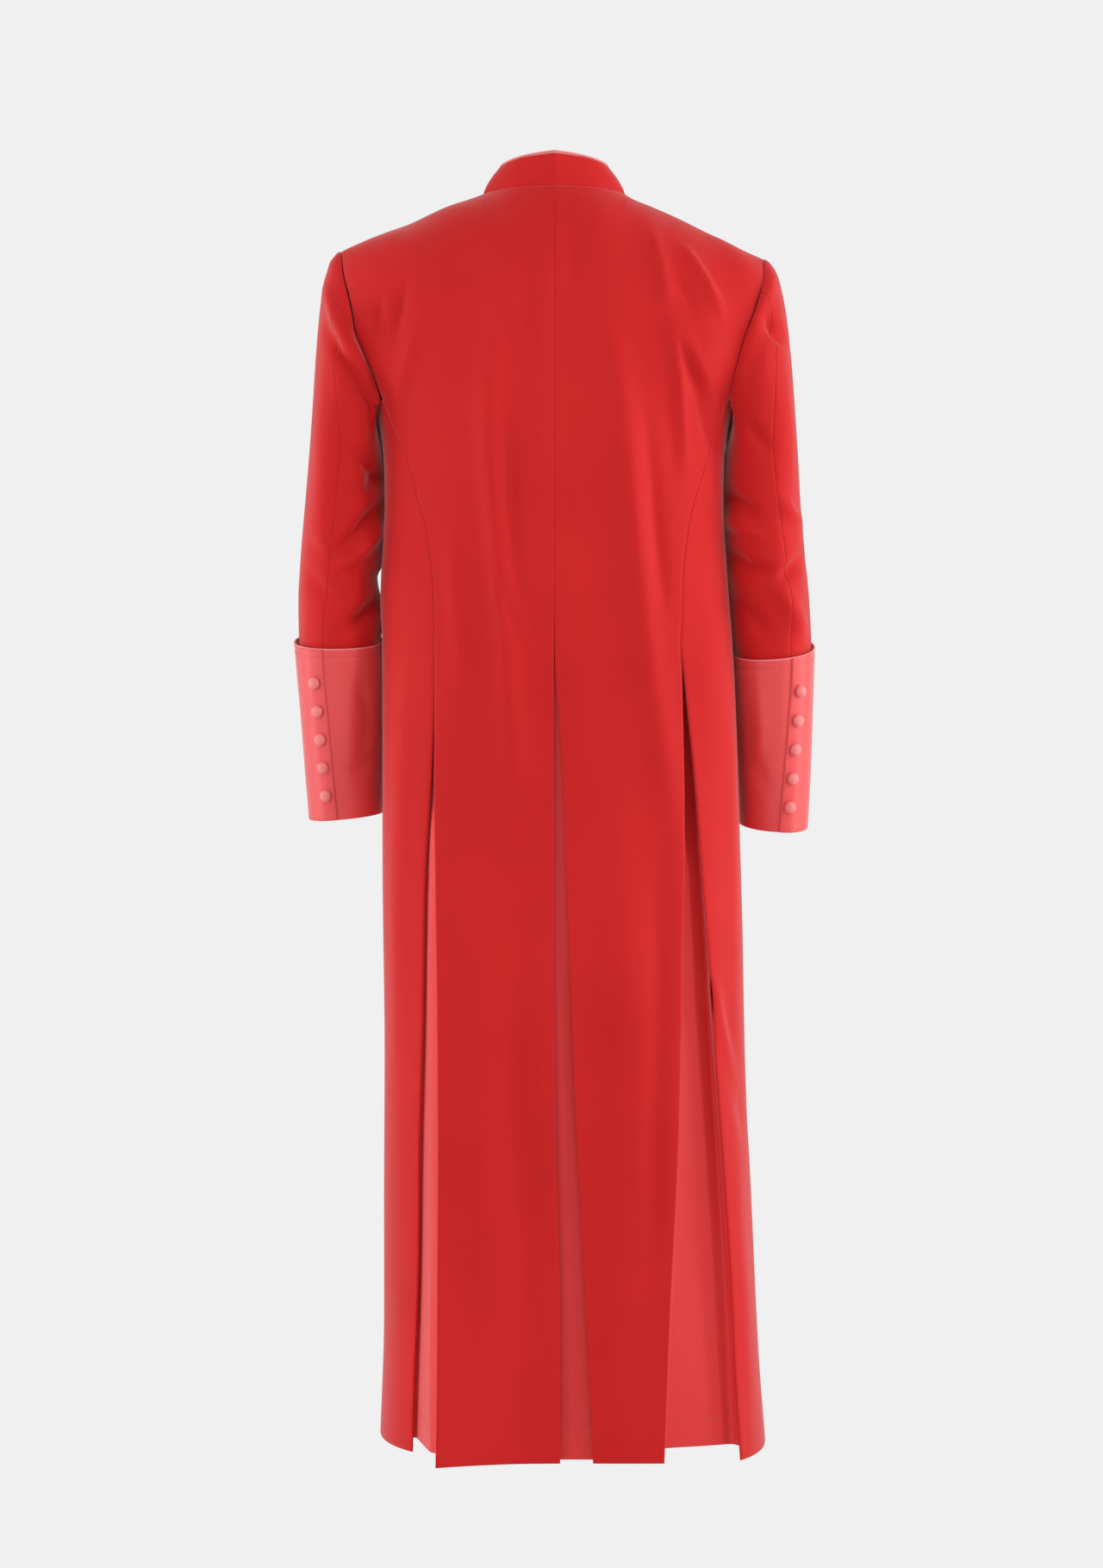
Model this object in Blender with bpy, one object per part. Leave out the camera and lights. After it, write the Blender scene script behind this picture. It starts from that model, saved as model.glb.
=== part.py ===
"""A long red cassock with satin pleat inserts and turned-up satin cuffs, in metres, hanging as worn.

The front faces -Y and the back +Y. The wearer's left is +X. The origin is the middle of the neck base.
Heights are given as the distance down from the origin.
"""
import math

import bmesh
import bpy
import numpy as np

WOOL = 0.0020
SATIN = 0.0015
SEAM = 0.00016
HEM = 1.430
SHOULDER_REF = 0.16
SHOULDER_ROUND = {1: 1.8, -1: 1.4}

WIDTH = {
    1: [(0, 0.275), (0.066, 0.27), (0.15, 0.262), (0.20, 0.24), (0.25, 0.207), (0.28, 0.2005), (0.31, 0.1975),
        (0.36, 0.1965), (0.392, 0.198), (0.47, 0.2015), (0.52, 0.1995), (0.75, 0.199), (1.0, 0.1965),
        (1.3, 0.197), (1.43, 0.201)],
    -1: [(0, 0.275), (0.066, 0.27), (0.15, 0.262), (0.20, 0.24), (0.25, 0.207), (0.28, 0.2005), (0.31, 0.1975),
         (0.36, 0.1965), (0.392, 0.198), (0.47, 0.203), (0.52, 0.207), (0.60, 0.211), (0.75, 0.2155),
         (0.85, 0.218), (1.0, 0.2205), (1.2, 0.229), (1.35, 0.236), (1.43, 0.242)],
}
BACK = [(0, 0.055), (0.07, 0.085), (0.12, 0.102), (0.20, 0.115), (0.30, 0.110), (0.40, 0.096), (0.47, 0.096),
        (0.55, 0.105), (0.65, 0.118), (0.80, 0.130), (1.0, 0.148), (1.2, 0.170), (1.43, 0.1975)]
SIDE_BACK = {
    1: BACK,
    -1: BACK[:7] + [(0.55, 0.106), (0.65, 0.122), (0.80, 0.142), (1.0, 0.170), (1.2, 0.203), (1.43, 0.240)],
}
FRONT = [(0, 0.075), (0.06, 0.088), (0.12, 0.108), (0.20, 0.122), (0.30, 0.132), (0.40, 0.130), (0.50, 0.134),
         (0.65, 0.143), (0.80, 0.150), (1.0, 0.160), (1.43, 0.190)]
POWER = {1: [(0, 2.4), (0.5, 2.4), (HEM, 2.28)], -1: [(0, 2.4), (0.5, 2.4), (HEM, 3.2)]}
SHOULDER = {
    1: [(0, -0.035), (0.04, -0.024), (0.082, -0.002), (0.093, 0.002), (0.122, 0.012), (0.145, 0.022),
        (0.167, 0.032), (0.194, 0.042), (0.219, 0.052), (0.246, 0.064), (0.275, 0.08)],
    -1: [(0, -0.035), (0.04, -0.024), (0.082, -0.002), (0.088, 0.002), (0.112, 0.012), (0.135, 0.022),
         (0.156, 0.032), (0.175, 0.042), (0.196, 0.052), (0.217, 0.062), (0.242, 0.073), (0.275, 0.09)],
}
CENTRE_EDGE = {
    1: [(0, 0), (0.865, 0), (1.066, -0.0019), (1.264, -0.0062), (HEM, -0.0066)],
    -1: [(0, 0), (0.458, 0), (0.5615, 0.0015), (0.587, 0.0035), (0.639, 0.0068), (0.692, 0.0097),
         (0.769, 0.0126), (0.865, 0.0164), (1.067, 0.024), (1.2645, 0.0343), (HEM, 0.0427)],
}
PRINCESS = {
    1: [(0.242, 0.1973), (0.272, 0.1853), (0.3007, 0.172), (0.3287, 0.1619), (0.362, 0.1541), (0.3868, 0.1461),
        (0.482, 0.1361), (0.57, 0.1357)],
    -1: [(0.242, 0.2008), (0.2775, 0.1874), (0.313, 0.1741), (0.343, 0.1651), (0.3737, 0.1561),
         (0.4073, 0.1501), (0.4486, 0.1461), (0.493, 0.145), (0.5264, 0.1439)],
}
BACK_EDGE = {
    1: PRINCESS[1] + [(0.676, 0.1361), (0.79, 0.1336), (0.8655, 0.1323), (1.026, 0.13), (1.184, 0.1291),
                      (HEM, 0.129)],
    -1: PRINCESS[-1] + [(0.56, 0.1457), (0.615, 0.1463), (0.71, 0.1469), (0.7694, 0.1473), (0.866, 0.1448),
                        (1.067, 0.1395), (1.265, 0.1288), (HEM, 0.1213)],
}
SIDE_EDGE = {
    1: PRINCESS[1] + [(0.648, 0.1385), (0.685, 0.1404), (0.79, 0.1455), (0.867, 0.1469), (1.03, 0.1506),
                      (1.193, 0.1541), (1.354, 0.1575), (HEM, 0.1596)],
    -1: PRINCESS[-1] + [(0.54, 0.1458), (0.581, 0.1505), (0.691, 0.1613), (0.77, 0.1664), (0.866, 0.1733),
                        (1.028, 0.1842), (1.149, 0.1927), (1.288, 0.2014), (HEM, 0.2072)],
}
ARMHOLE_BACK = {
    1: [(0.064, 0.246), (0.095, 0.2425), (0.116, 0.2369), (0.146, 0.2302), (0.1746, 0.2252), (0.20, 0.2154),
        (0.2258, 0.2039), (0.242, 0.1973)],
    -1: [(0.073, 0.242), (0.095, 0.241), (0.116, 0.2381), (0.1456, 0.2313), (0.1753, 0.222), (0.20, 0.2145),
         (0.2258, 0.2065), (0.242, 0.2008)],
}
ARMHOLE_FRONT = {
    1: [(0.064, 0.246), (0.10, 0.232), (0.14, 0.212), (0.18, 0.2), (0.22, 0.191), (0.242, 0.1836)],
    -1: [(0.073, 0.242), (0.10, 0.23), (0.14, 0.211), (0.18, 0.2), (0.22, 0.191), (0.242, 0.1836)],
}
FRONT_SEAM_TURN = math.radians(124)
NECK_HALF = 0.082
NECK_DROP = 0.058
LAP = 0.025


def curve(table, at):
    """A smooth value through a table of (position, value) pairs, without overshoot."""
    place, value = np.array(table, float).T
    step = np.diff(place)
    slope = np.diff(value) / step
    lean = np.empty_like(value)
    lean[0], lean[-1] = slope[0], slope[-1]
    before, after = slope[:-1], slope[1:]
    same = before * after > 0
    first, second = 2 * step[1:] + step[:-1], step[1:] + 2 * step[:-1]
    blend = (first + second) / (first / np.where(same, before, 1) + second / np.where(same, after, 1))
    lean[1:-1] = np.where(same, blend, 0)
    at = np.clip(at, place[0], place[-1])
    i = np.clip(np.searchsorted(place, at, side="right") - 1, 0, len(place) - 2)
    t = (at - place[i]) / step[i]
    return ((2 * t**3 - 3 * t**2 + 1) * value[i] + (t**3 - 2 * t**2 + t) * step[i] * lean[i]
            + (3 * t**2 - 2 * t**3) * value[i + 1] + (t**3 - t**2) * step[i] * lean[i + 1])


def body_y(face, side, x, down):
    """Depth of the back (face 1) or front (face -1) surface at a width and a height."""
    x = np.abs(x)
    ref = SHOULDER_REF
    level = np.maximum(down, ref)
    power = curve(POWER[1], level) if face > 0 else 2.4
    depth = curve(BACK if face > 0 else FRONT, level)
    flat = depth * np.maximum(1 - np.minimum(x / curve(WIDTH[side], level), 1) ** power, 0) ** (1 / power)
    top = curve(SHOULDER[side], x)
    reach = np.clip((down - top) / (ref - top), 0, 1)
    y = flat * (1 - (1 - reach) ** SHOULDER_ROUND[face]) ** (1 / SHOULDER_ROUND[face])
    if face > 0:
        share = np.clip((down - 0.52) / 0.91, 0, 1)
        board = depth + (0.0245 if side > 0 else 0) * (x / 0.129) ** 2
        y = y + share * (board - y)
    return face * y


def section(side, down, turn):
    """A point of the side body's level section, turned from the centre back (0) towards the front (pi)."""
    width = curve(WIDTH[side], down)
    behind = np.cos(turn) > 0
    depth = np.where(behind, curve(SIDE_BACK[side], down), curve(FRONT, down))
    power = np.where(behind, curve(POWER[side], down), 2.4)
    reach = (np.abs(np.sin(turn)) ** power + np.abs(np.cos(turn)) ** power) ** (-1 / power)
    return width * reach * np.sin(turn), depth * reach * np.cos(turn)


def inside(side, down, turn, depth):
    """A point that far inside the side body's surface, measured square to it."""
    x, y = section(side, down, turn)
    ahead_x, ahead_y = section(side, down, turn + 0.01)
    along = np.array([ahead_x - x, ahead_y - y])
    along /= np.linalg.norm(along)
    return np.array([x + along[1] * depth, y - along[0] * depth])


def turn_at(side, down, x):
    """The turn of the side body's back half at a given width."""
    width, depth = curve(WIDTH[side], down), curve(SIDE_BACK[side], down)
    power = curve(POWER[side], down)
    share = x / width
    y = depth * (1 - share**power) ** (1 / power)
    return np.arctan2(share, y / depth)


def trim(grid, gaps):
    """Draws the four edges of a grid of points in by their gaps: first row, last row, first and last column."""
    done = grid.copy()
    pairs = (((0, slice(None)), (1, slice(None))), ((-1, slice(None)), (-2, slice(None))),
             ((slice(None), 0), (slice(None), 1)), ((slice(None), -1), (slice(None), -2)))
    for (edge, inner), gap in zip(pairs, gaps):
        away = done[inner] - done[edge]
        done[edge] += away * (gap / np.linalg.norm(away, axis=-1, keepdims=True))
    return done


def normals_of(grid, outward):
    """Unit normals of a grid, turned to the given side at its middle, and whether they had to be turned."""
    normal = np.cross(np.gradient(grid, axis=0), np.gradient(grid, axis=1))
    normal /= np.linalg.norm(normal, axis=-1, keepdims=True)
    turned = np.dot(normal[len(grid) // 2, grid.shape[1] // 2], outward) < 0
    return (-normal if turned else normal), turned


def share_seam_normals(pieces):
    """Gives edge points that two pieces have in common one normal, so that their walls meet square."""
    met = {}
    for piece in pieces:
        grid, normal = piece["grid"], piece["normal"]
        edge = np.zeros(grid.shape[:2], bool)
        edge[[0, -1], :] = True
        edge[:, [0, -1]] = True
        for i, j in np.argwhere(edge):
            key = tuple(int(v) for v in np.round(grid[i, j] * 1e4))
            met.setdefault(key, []).append((normal, i, j))
    for places in met.values():
        mean = sum(normal[i, j] for normal, i, j in places)
        mean = mean / np.linalg.norm(mean)
        for normal, i, j in places:
            normal[i, j] = mean


def shell(name, grid, normal, turned, thickness):
    """A closed cloth wall: the grid is its outer face and the thickness lies behind it."""
    rows, columns = grid.shape[:2]
    points = np.concatenate([grid.reshape(-1, 3), (grid - thickness * normal).reshape(-1, 3)])
    back = rows * columns
    faces = []
    for i in range(rows - 1):
        for j in range(columns - 1):
            a = i * columns + j
            b, c, d = a + columns, a + columns + 1, a + 1
            faces.append((a, b, c, d))
            faces.append((back + d, back + c, back + b, back + a))
    rim = [j for j in range(columns)]
    rim += [i * columns + columns - 1 for i in range(1, rows)]
    rim += [(rows - 1) * columns + j for j in range(columns - 2, -1, -1)]
    rim += [i * columns for i in range(rows - 2, 0, -1)]
    for a, b in zip(rim, rim[1:] + rim[:1]):
        faces.append((a, b, back + b, back + a))
    if turned:
        faces = [tuple(reversed(face)) for face in faces]
    solid(name, points, faces)


def solid(name, points, faces):
    mesh = bpy.data.meshes.new(name)
    mesh.from_pydata([tuple(map(float, p)) for p in points], [], faces)
    mesh.validate()
    obj = bpy.data.objects.new(name, mesh)
    bpy.context.scene.collection.objects.link(obj)


LEVELS = np.array([0.28, 0.315, 0.35, 0.39, 0.43, 0.47, 0.51, 0.56, 0.62, 0.70, 0.79, 0.88, 0.98, 1.09, 1.20,
                   1.30, 1.38, HEM])
NECK_STEPS, SHOULDER_STEPS, YOKE_STEPS = 4, 5, 8


def neck_down(face, x):
    """Height of the neck seam at a width: level behind and dropping towards the centre front."""
    share = np.sqrt(np.maximum(1 - (x / NECK_HALF) ** 2, 0))
    return -0.002 - 0.001 * share if face > 0 else -0.002 + (NECK_DROP + 0.002) * share


def yoked_panel(face, side, lap=0.0, drop=0.0):
    """Outer grid of a back or front panel from the neck and shoulder to the hem, centre edge to side edge."""
    armhole = (ARMHOLE_BACK if face > 0 else ARMHOLE_FRONT)[side]
    junction = armhole[-1][0]
    steps = NECK_STEPS + SHOULDER_STEPS
    neck_x = NECK_HALF * np.sin(np.linspace(0, math.pi / 2, NECK_STEPS + 1))
    shoulder_x = np.linspace(NECK_HALF, armhole[0][1], SHOULDER_STEPS + 1)[1:]
    top_x = np.concatenate([neck_x, shoulder_x])
    top_down = np.concatenate([neck_down(face, neck_x), curve(SHOULDER[side], shoulder_x)])
    even = np.linspace(0, 1, steps + 1)
    levels = np.concatenate([[junction], LEVELS])
    rows_x, rows_down = [], []
    inner = curve(CENTRE_EDGE[side], levels) if face > 0 else np.zeros(len(levels))
    if face > 0:
        outer = curve(BACK_EDGE[side], levels)
    else:
        outer = section(side, levels, FRONT_SEAM_TURN)[0]
    for s in np.linspace(0, 1, YOKE_STEPS + 1)[:-1] ** 1.5:
        edge_down = armhole[0][0] + s * (junction - armhole[0][0])
        edge_x = curve(armhole, edge_down)
        row_x = (1 - s) * top_x + s * (inner[0] + (outer[0] - inner[0]) * even)
        row_down = (1 - s) * top_down + s * junction
        rows_x.append(row_x + even**3 * (edge_x - row_x[-1]))
        rows_down.append(row_down + even**3 * (edge_down - row_down[-1]))
    for i, level in enumerate(levels):
        rows_x.append(inner[i] + (outer[i] - inner[i]) * even)
        rows_down.append(np.full(steps + 1, level))
    x, down = np.array(rows_x), np.array(rows_down)
    y = body_y(face, side, x, down)
    if face < 0 and lap:
        x = np.concatenate([np.full((len(x), 1), -lap), np.zeros((len(x), 1)), x[:, 1:]], axis=1)
        down = np.concatenate([down[:, :1], down], axis=1)
        y = body_y(face, side, x, down)
        y = y + drop * np.clip((0.055 - x) / 0.03, 0, 1)
    return np.stack([side * x, y, -down], axis=-1)


def side_panel(side):
    """Outer grid of a side body from the armhole to the hem, back edge to front seam."""
    even = np.linspace(0, 1, 11)
    levels = np.concatenate([[ARMHOLE_BACK[side][-1][0]], LEVELS])
    rows = []
    for i, level in enumerate(levels):
        first = turn_at(side, level, curve(SIDE_EDGE[side], level))
        turn = first + (FRONT_SEAM_TURN - first) * even
        dip = (0.016, 0.007, 0.002, 0)[min(i, 3)]
        down = level + dip * np.sin(math.pi * even) ** 2
        x, y = section(side, down, turn)
        rows.append(np.stack([side * x, y, -down], axis=-1))
    return np.array(rows)


def rounded(points, radius, steps):
    """A path through the points, x and y, with its corners rounded."""
    path = [points[0]]
    for before, corner, after in zip(points, points[1:], points[2:]):
        a, b = before - corner, after - corner
        a *= min(radius, 0.45 * np.linalg.norm(a)) / np.linalg.norm(a)
        b *= min(radius, 0.45 * np.linalg.norm(b)) / np.linalg.norm(b)
        for t in np.linspace(0, 1, steps + 1):
            path.append(corner + (1 - t) ** 2 * a + t**2 * b)
    path.append(points[-1])
    return np.array(path)


EYE_Y = 3.8
INSERT_TOP = {"centre": 0.44, "left": 0.555, "right": 0.515}
INSERT_SHORT = 0.014
INSERT_HOLLOW = {
    1: [(0, 0.0), (0.05, 0.012), (0.13, 0.014), (0.22, 0.002), (1, 0.0)],
    -1: [(0, 0.0), (0.05, 0.015), (0.20, 0.016), (0.30, 0.002), (1, 0.0)],
}


def sight(x, y, floor):
    """Where the line from a viewer behind the garment, past an edge, meets a depth."""
    return x * (EYE_Y - floor) / (EYE_Y - y)


def insert_levels(top, short):
    """Heights of an insert's rows: its top, the panels' own heights and its hem."""
    return np.concatenate([[top], LEVELS[LEVELS > top + 0.012][:-1], [HEM - short]])


def side_insert(side):
    """Outer grid of the satin between a back panel and a side panel."""
    top = INSERT_TOP["left" if side > 0 else "right"]
    rows = []
    for down in insert_levels(top, INSERT_SHORT):
        share = (down - top) / (HEM - top)
        xa, xb = curve(BACK_EDGE[side], down), curve(SIDE_EDGE[side], down)
        ya = body_y(1, side, xa, down)
        hung = WOOL + 0.0007 + 0.0005 * share
        yb = section(side, down, turn_at(side, down, xb))[1]
        hollow = curve(INSERT_HOLLOW[side], share)
        if side > 0:
            floor_a = ya - 0.0085 - 0.006 * share - hollow
            floor_b = yb - 0.0075 - 0.003 * share - 0.3 * hollow
            inner_a = min(sight(xa, ya, floor_a) - 0.001 + 0.008 * min(1, 3 * share), 0.5 * (xa + xb))
            inner_b = xb - 0.002 - 0.002 * share
        else:
            floor_a = ya - 0.0085 - 0.003 * share - hollow
            floor_b = yb - 0.0085 - 0.005 * share - hollow - 0.080 * share * (1 - share) ** 2
            inner_a = sight(xa, ya, floor_a) - 0.001
            inner_b = sight(xb, yb, floor_b) + 0.001 - 0.011 * share
        corners = [(xa - 0.014, body_y(1, side, xa - 0.014, down) - hung),
                   (xa - 0.003, ya - hung), (inner_a, floor_a), (inner_b, floor_b)]
        edge = turn_at(side, down, xb)
        reach = float(np.hypot(*section(side, down, edge)))
        if side > 0:
            for step in (0.004, 0.016):
                corners.append(inside(side, down, edge + step / reach, WOOL + 0.0012))
        else:
            turned_in = SATIN * min(1, 1.6 * share)
            corners.append(inside(side, down, edge + 0.004 / reach, WOOL + 0.0009 + turned_in))
        path = rounded(np.array(corners), 0.004, 3)
        rows.append(np.column_stack([side * path[:, 0], path[:, 1], np.full(len(path), -down)]))
    return np.array(rows)


def centre_insert():
    """Outer grid of the satin behind the two centre back edges."""
    rows = []
    for down in insert_levels(INSERT_TOP["centre"], 0.002):
        share = (down - INSERT_TOP["centre"]) / (HEM - INSERT_TOP["centre"])
        left, right = curve(CENTRE_EDGE[1], down), -curve(CENTRE_EDGE[-1], down)
        across = np.concatenate([np.linspace(left + 0.045, left + 0.004, 4),
                                 np.linspace(left + 0.004, right - 0.004, 7)[1:-1],
                                 np.linspace(right - 0.004, right - 0.045, 4)])
        depth = np.where(across > 0, body_y(1, 1, across, down), body_y(1, -1, across, down))
        ramp = np.concatenate([np.linspace(0, 1, 4), np.ones(5), np.linspace(1, 0, 4)])
        sunk = WOOL + 0.0014 + (0.001 + 0.007 * share) * ramp
        rows.append(np.column_stack([across, depth - sunk, np.full(len(across), -down)]))
    return np.array(rows)


ARM = {
    1: [(0.30, 0.2440, -0.014), (0.36, 0.2491, -0.024), (0.42, 0.2537, -0.024), (0.47, 0.2560, -0.027),
        (0.53, 0.2542, -0.032), (0.60, 0.2506, -0.038), (0.67, 0.2478, -0.047), (0.725, 0.2456, -0.057)],
    -1: [(0.30, 0.2425, -0.014), (0.36, 0.2461, -0.024), (0.42, 0.2512, -0.024), (0.47, 0.2555, -0.027),
         (0.53, 0.2577, -0.032), (0.60, 0.2587, -0.038), (0.67, 0.2593, -0.047), (0.74, 0.2591, -0.060)],
}
ARM_WIDE = [(0.30, 0.0405), (0.36, 0.0415), (0.42, 0.0420), (0.47, 0.0425), (0.53, 0.0430), (0.60, 0.040),
            (0.67, 0.0385), (0.74, 0.0365)]
ARM_INNER = {
    1: [(0.30, 0.0040), (0.32, 0.0062), (0.34, 0.0082), (0.36, 0.0101), (0.39, 0.0110), (0.425, 0.0110),
        (0.440, 0.0062), (0.452, 0.0080), (0.465, 0.0110), (0.490, 0.0115), (0.513, 0.0084), (0.60, 0.0068),
        (0.67, 0.0054), (0.74, 0.0050)],
    -1: [(0.30, 0.0026), (0.32, 0.0043), (0.34, 0.0058), (0.36, 0.0071), (0.39, 0.0080), (0.42, 0.0087),
         (0.45, 0.0093), (0.47, 0.0092), (0.50, 0.0078), (0.5225, 0.0034), (0.54, 0.0028), (0.60, 0.0030),
         (0.67, 0.0024), (0.74, 0.0020)],
}
ARM_DEEP = [(0.30, 0.074), (0.36, 0.072), (0.42, 0.068), (0.53, 0.061), (0.60, 0.057), (0.67, 0.054),
            (0.74, 0.052)]
ARM_TILT = {
    1: [(0.30, 0.0), (0.42, 3.0), (0.515, 11.0), (0.63, 8.0), (0.72, 4.8)],
    -1: [(0.30, 0.0), (0.42, 3.0), (0.525, 12.8), (0.63, 11.0), (0.73, 9.0)],
}
# How steeply a ring rises outward, across the arm.
ARM_ROLL = {
    1: [(0.30, 0.0), (0.515, 0.0), (0.72, -0.092)],
    -1: [(0.30, 0.0), (0.42, 0.0), (0.525, 0.085), (0.73, -0.064)],
}
CUFF = {1: (0.515, 0.7186), -1: (0.5247, 0.7292)}
CUFF_WIDE = {1: (0.0488, 0.0425), -1: (0.0470, 0.0395)}
CUFF_INNER = {1: (0.0056, 0.0024), -1: (0.0026, 0.0020)}
CUFF_DEEP = {1: (0.067, 0.0585), -1: (0.066, 0.0565)}
SLEEVE_END = {1: 0.7136, -1: 0.7242}
LAP_LIFT = 0.0024
HIND = {
    1: [(0.0, 48), (0.30, 89), (0.42, 86), (0.53, 76), (0.60, 78), (0.67, 81), (0.74, 84)],
    -1: [(0.0, 50), (0.30, 79), (0.36, 76), (0.42, 70), (0.53, 70), (0.60, 75), (0.67, 82), (0.74, 88)],
}
FORE_SEAM = 245.0
ARMHOLE_AT = {
    1: [(0, 0.064), (40, 0.116), (75, 0.146), (100, 0.1746), (130, 0.2258), (145, 0.242)],
    -1: [(0, 0.073), (40, 0.116), (75, 0.1456), (100, 0.1753), (130, 0.2258), (145, 0.242)],
}
CAP_STEPS = np.array([0, 0.08, 0.18, 0.30, 0.44, 0.60, 0.78, 1.0])


def ring(side, down, turn, wide, deep, inner):
    """A point of a ring about the arm, turned from outward (0) through the back (90 degrees).

    inner is how much further the ring reaches towards the body than away from it."""
    reach = (np.abs(np.cos(turn)) ** 2.2 + np.abs(np.sin(turn)) ** 2.2) ** (-1 / 2.2)
    wide = wide + np.where(np.cos(turn) < 0, inner, 0)
    out, behind = wide * reach * np.cos(turn), deep * reach * np.sin(turn)
    tilt = np.radians(curve(ARM_TILT[side], down))
    x = curve([(d, c) for d, c, _ in ARM[side]], down) + out
    y = curve([(d, c) for d, _, c in ARM[side]], down) + behind * np.cos(tilt)
    z = out * curve(ARM_ROLL[side], down) - down - behind * np.sin(tilt)
    return np.stack([x, y, z], axis=-1)


def arm_size(side, down):
    """Half widths of a sleeve's ring outward and behind, and its further reach towards the body."""
    return curve(ARM_WIDE, down), curve(ARM_DEEP, down), curve(ARM_INNER[side], down)


def cuff_size(side, share):
    """The same for a cuff, from its top edge (0) to its lower edge (1)."""
    return [size[side][0] + share * (size[side][1] - size[side][0]) for size in (CUFF_WIDE, CUFF_DEEP, CUFF_INNER)]


def armhole_point(side, turn):
    """The armhole seam at a turn in degrees: 0 at the shoulder, 90 behind, 180 under the arm."""
    turn = turn % 360
    last = ARMHOLE_BACK[side][-1][0]
    first_turn = turn_at(side, last, curve(SIDE_EDGE[side], last))
    if turn <= 145:
        down = float(curve(ARMHOLE_AT[side], turn))
        x = float(curve(ARMHOLE_BACK[side], down))
        return np.array([x, float(body_y(1, side, x, down)), -down])
    if turn <= 215:
        share = (turn - 145) / 70
        down = last + 0.016 * math.sin(math.pi * share) ** 2
        x, y = section(side, down, first_turn + (FRONT_SEAM_TURN - first_turn) * share)
        return np.array([float(x), float(y), -down])
    share = (360 - turn) / 145
    top = ARMHOLE_FRONT[side][0][0]
    down = top + (last - top) * share**1.3
    x = float(curve(ARMHOLE_FRONT[side], down))
    return np.array([x, float(body_y(-1, side, x, down)), -down])


def sleeve(side, turns_of):
    """Outer grid of a sleeve piece. turns_of gives its first and last turn, in degrees, at a height."""
    columns = np.linspace(0, 1, turns_of(0)[2] + 1)
    rows = []
    for v in CAP_STEPS:
        first, last, _ = turns_of(0.30 * v)
        row = []
        for turn in first + (last - first) * columns:
            angle = math.radians(turn)
            start = armhole_point(side, turn)
            end, below = (ring(side, d, np.array(angle), *arm_size(side, d)) for d in (0.30, 0.33))
            reach = np.linalg.norm(end - start)
            facing = math.cos(angle)
            out = np.array([0.8 * max(facing, -0.2) + 0.35, 0.35 * math.sin(angle), -0.25 + 0.25 * facing])
            out /= np.linalg.norm(out)
            aside = np.array([1, 0.5 * math.sin(angle), 0])
            start = start + 0.0020 * aside / np.linalg.norm(aside)
            pull = start + out * reach * (0.2 - 0.07 * max(facing, 0))
            lead = end - (below - end) / np.linalg.norm(below - end) * reach * 0.40
            row.append((1 - v) ** 3 * start + 3 * v * (1 - v) ** 2 * pull + 3 * v**2 * (1 - v) * lead + v**3 * end)
        rows.append(row)
    top = CUFF[side][0]
    levels = np.array([0.335, 0.375, 0.42, 0.46, top - 0.025, top - 0.002, 0.57, 0.615, 0.665,
                       SLEEVE_END[side]])
    for down in levels:
        first, last, _ = turns_of(down)
        turn = np.radians(first + (last - first) * columns)
        rows.append(ring(side, down, turn, *arm_size(side, down)))
    share = (SLEEVE_END[side] - CUFF[side][0]) / (CUFF[side][1] - CUFF[side][0])
    wide, deep, inner = cuff_size(side, share)
    close = SATIN + 0.0008
    rows[-1] = ring(side, SLEEVE_END[side], turn, wide - close, deep - close, inner)
    grid = np.array(rows)
    grid[..., 0] *= side
    return grid


def cuff_point(side, share, turn, lift=0.0):
    """A point of the cuff's outer face. share runs from its top edge (0) to its lower edge (1)."""
    down = CUFF[side][0] + share * (CUFF[side][1] - CUFF[side][0])
    wide, deep, inner = cuff_size(side, share)
    point = ring(side, down, turn, wide + lift, deep + lift, inner)
    point[..., 0] *= side
    return point


def cuff(side):
    """Outer grid of a cuff, its outer end lapped over its inner end at the hind seam."""
    rows = []
    for share in np.linspace(0, 1, 6):
        down = CUFF[side][0] + share * (CUFF[side][1] - CUFF[side][0])
        hind = float(curve(HIND[side], down))
        turn = np.linspace(hind - 9, hind + 360, 25)
        lift = LAP_LIFT * np.clip((turn - hind - 318) / 22, 0, 1)
        rows.append(cuff_point(side, share, np.radians(turn), lift))
    return np.array(rows)


def button(name, side, share):
    """A cloth-covered domed button on the lapped end of a cuff."""
    down = CUFF[side][0] + share * (CUFF[side][1] - CUFF[side][0])
    turn = math.radians(float(curve(HIND[side], down)) - 13)
    at = cuff_point(side, share, np.array(turn), LAP_LIFT)
    along = cuff_point(side, share + 0.02, np.array(turn), LAP_LIFT) - at
    around = cuff_point(side, share, np.array(turn + 0.03), LAP_LIFT) - at
    axis = np.cross(around, along)
    axis /= np.linalg.norm(axis)
    centre = cuff_point(side, 0.5, np.radians(np.arange(0, 360, 30.0))).mean(axis=0)
    if np.dot(axis, at - centre) < 0:
        axis = -axis
    first = along / np.linalg.norm(along)
    second = np.cross(axis, first)
    profile = [(0.0058, 0.0), (0.0069, 0.0014), (0.0068, 0.0032), (0.0052, 0.0052), (0.0027, 0.0063)]
    points, faces, sides = [], [], 10
    for radius, height in profile:
        for k in range(sides):
            a = 2 * math.pi * k / sides
            points.append(at + axis * (0.0003 + height) + radius * (math.cos(a) * first + math.sin(a) * second))
    for i in range(len(profile) - 1):
        for k in range(sides):
            a, b = i * sides + k, i * sides + (k + 1) % sides
            faces.append((a, b, b + sides, a + sides))
    points.append(at + axis * 0.0003)
    points.append(at + axis * 0.0069)
    base, tip = len(points) - 2, len(points) - 1
    last = (len(profile) - 1) * sides
    for k in range(sides):
        faces.append((base, (k + 1) % sides, k))
        faces.append((tip, last + k, last + (k + 1) % sides))
    solid(name, points, faces)


COLLAR_TURN = 176.5


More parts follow.
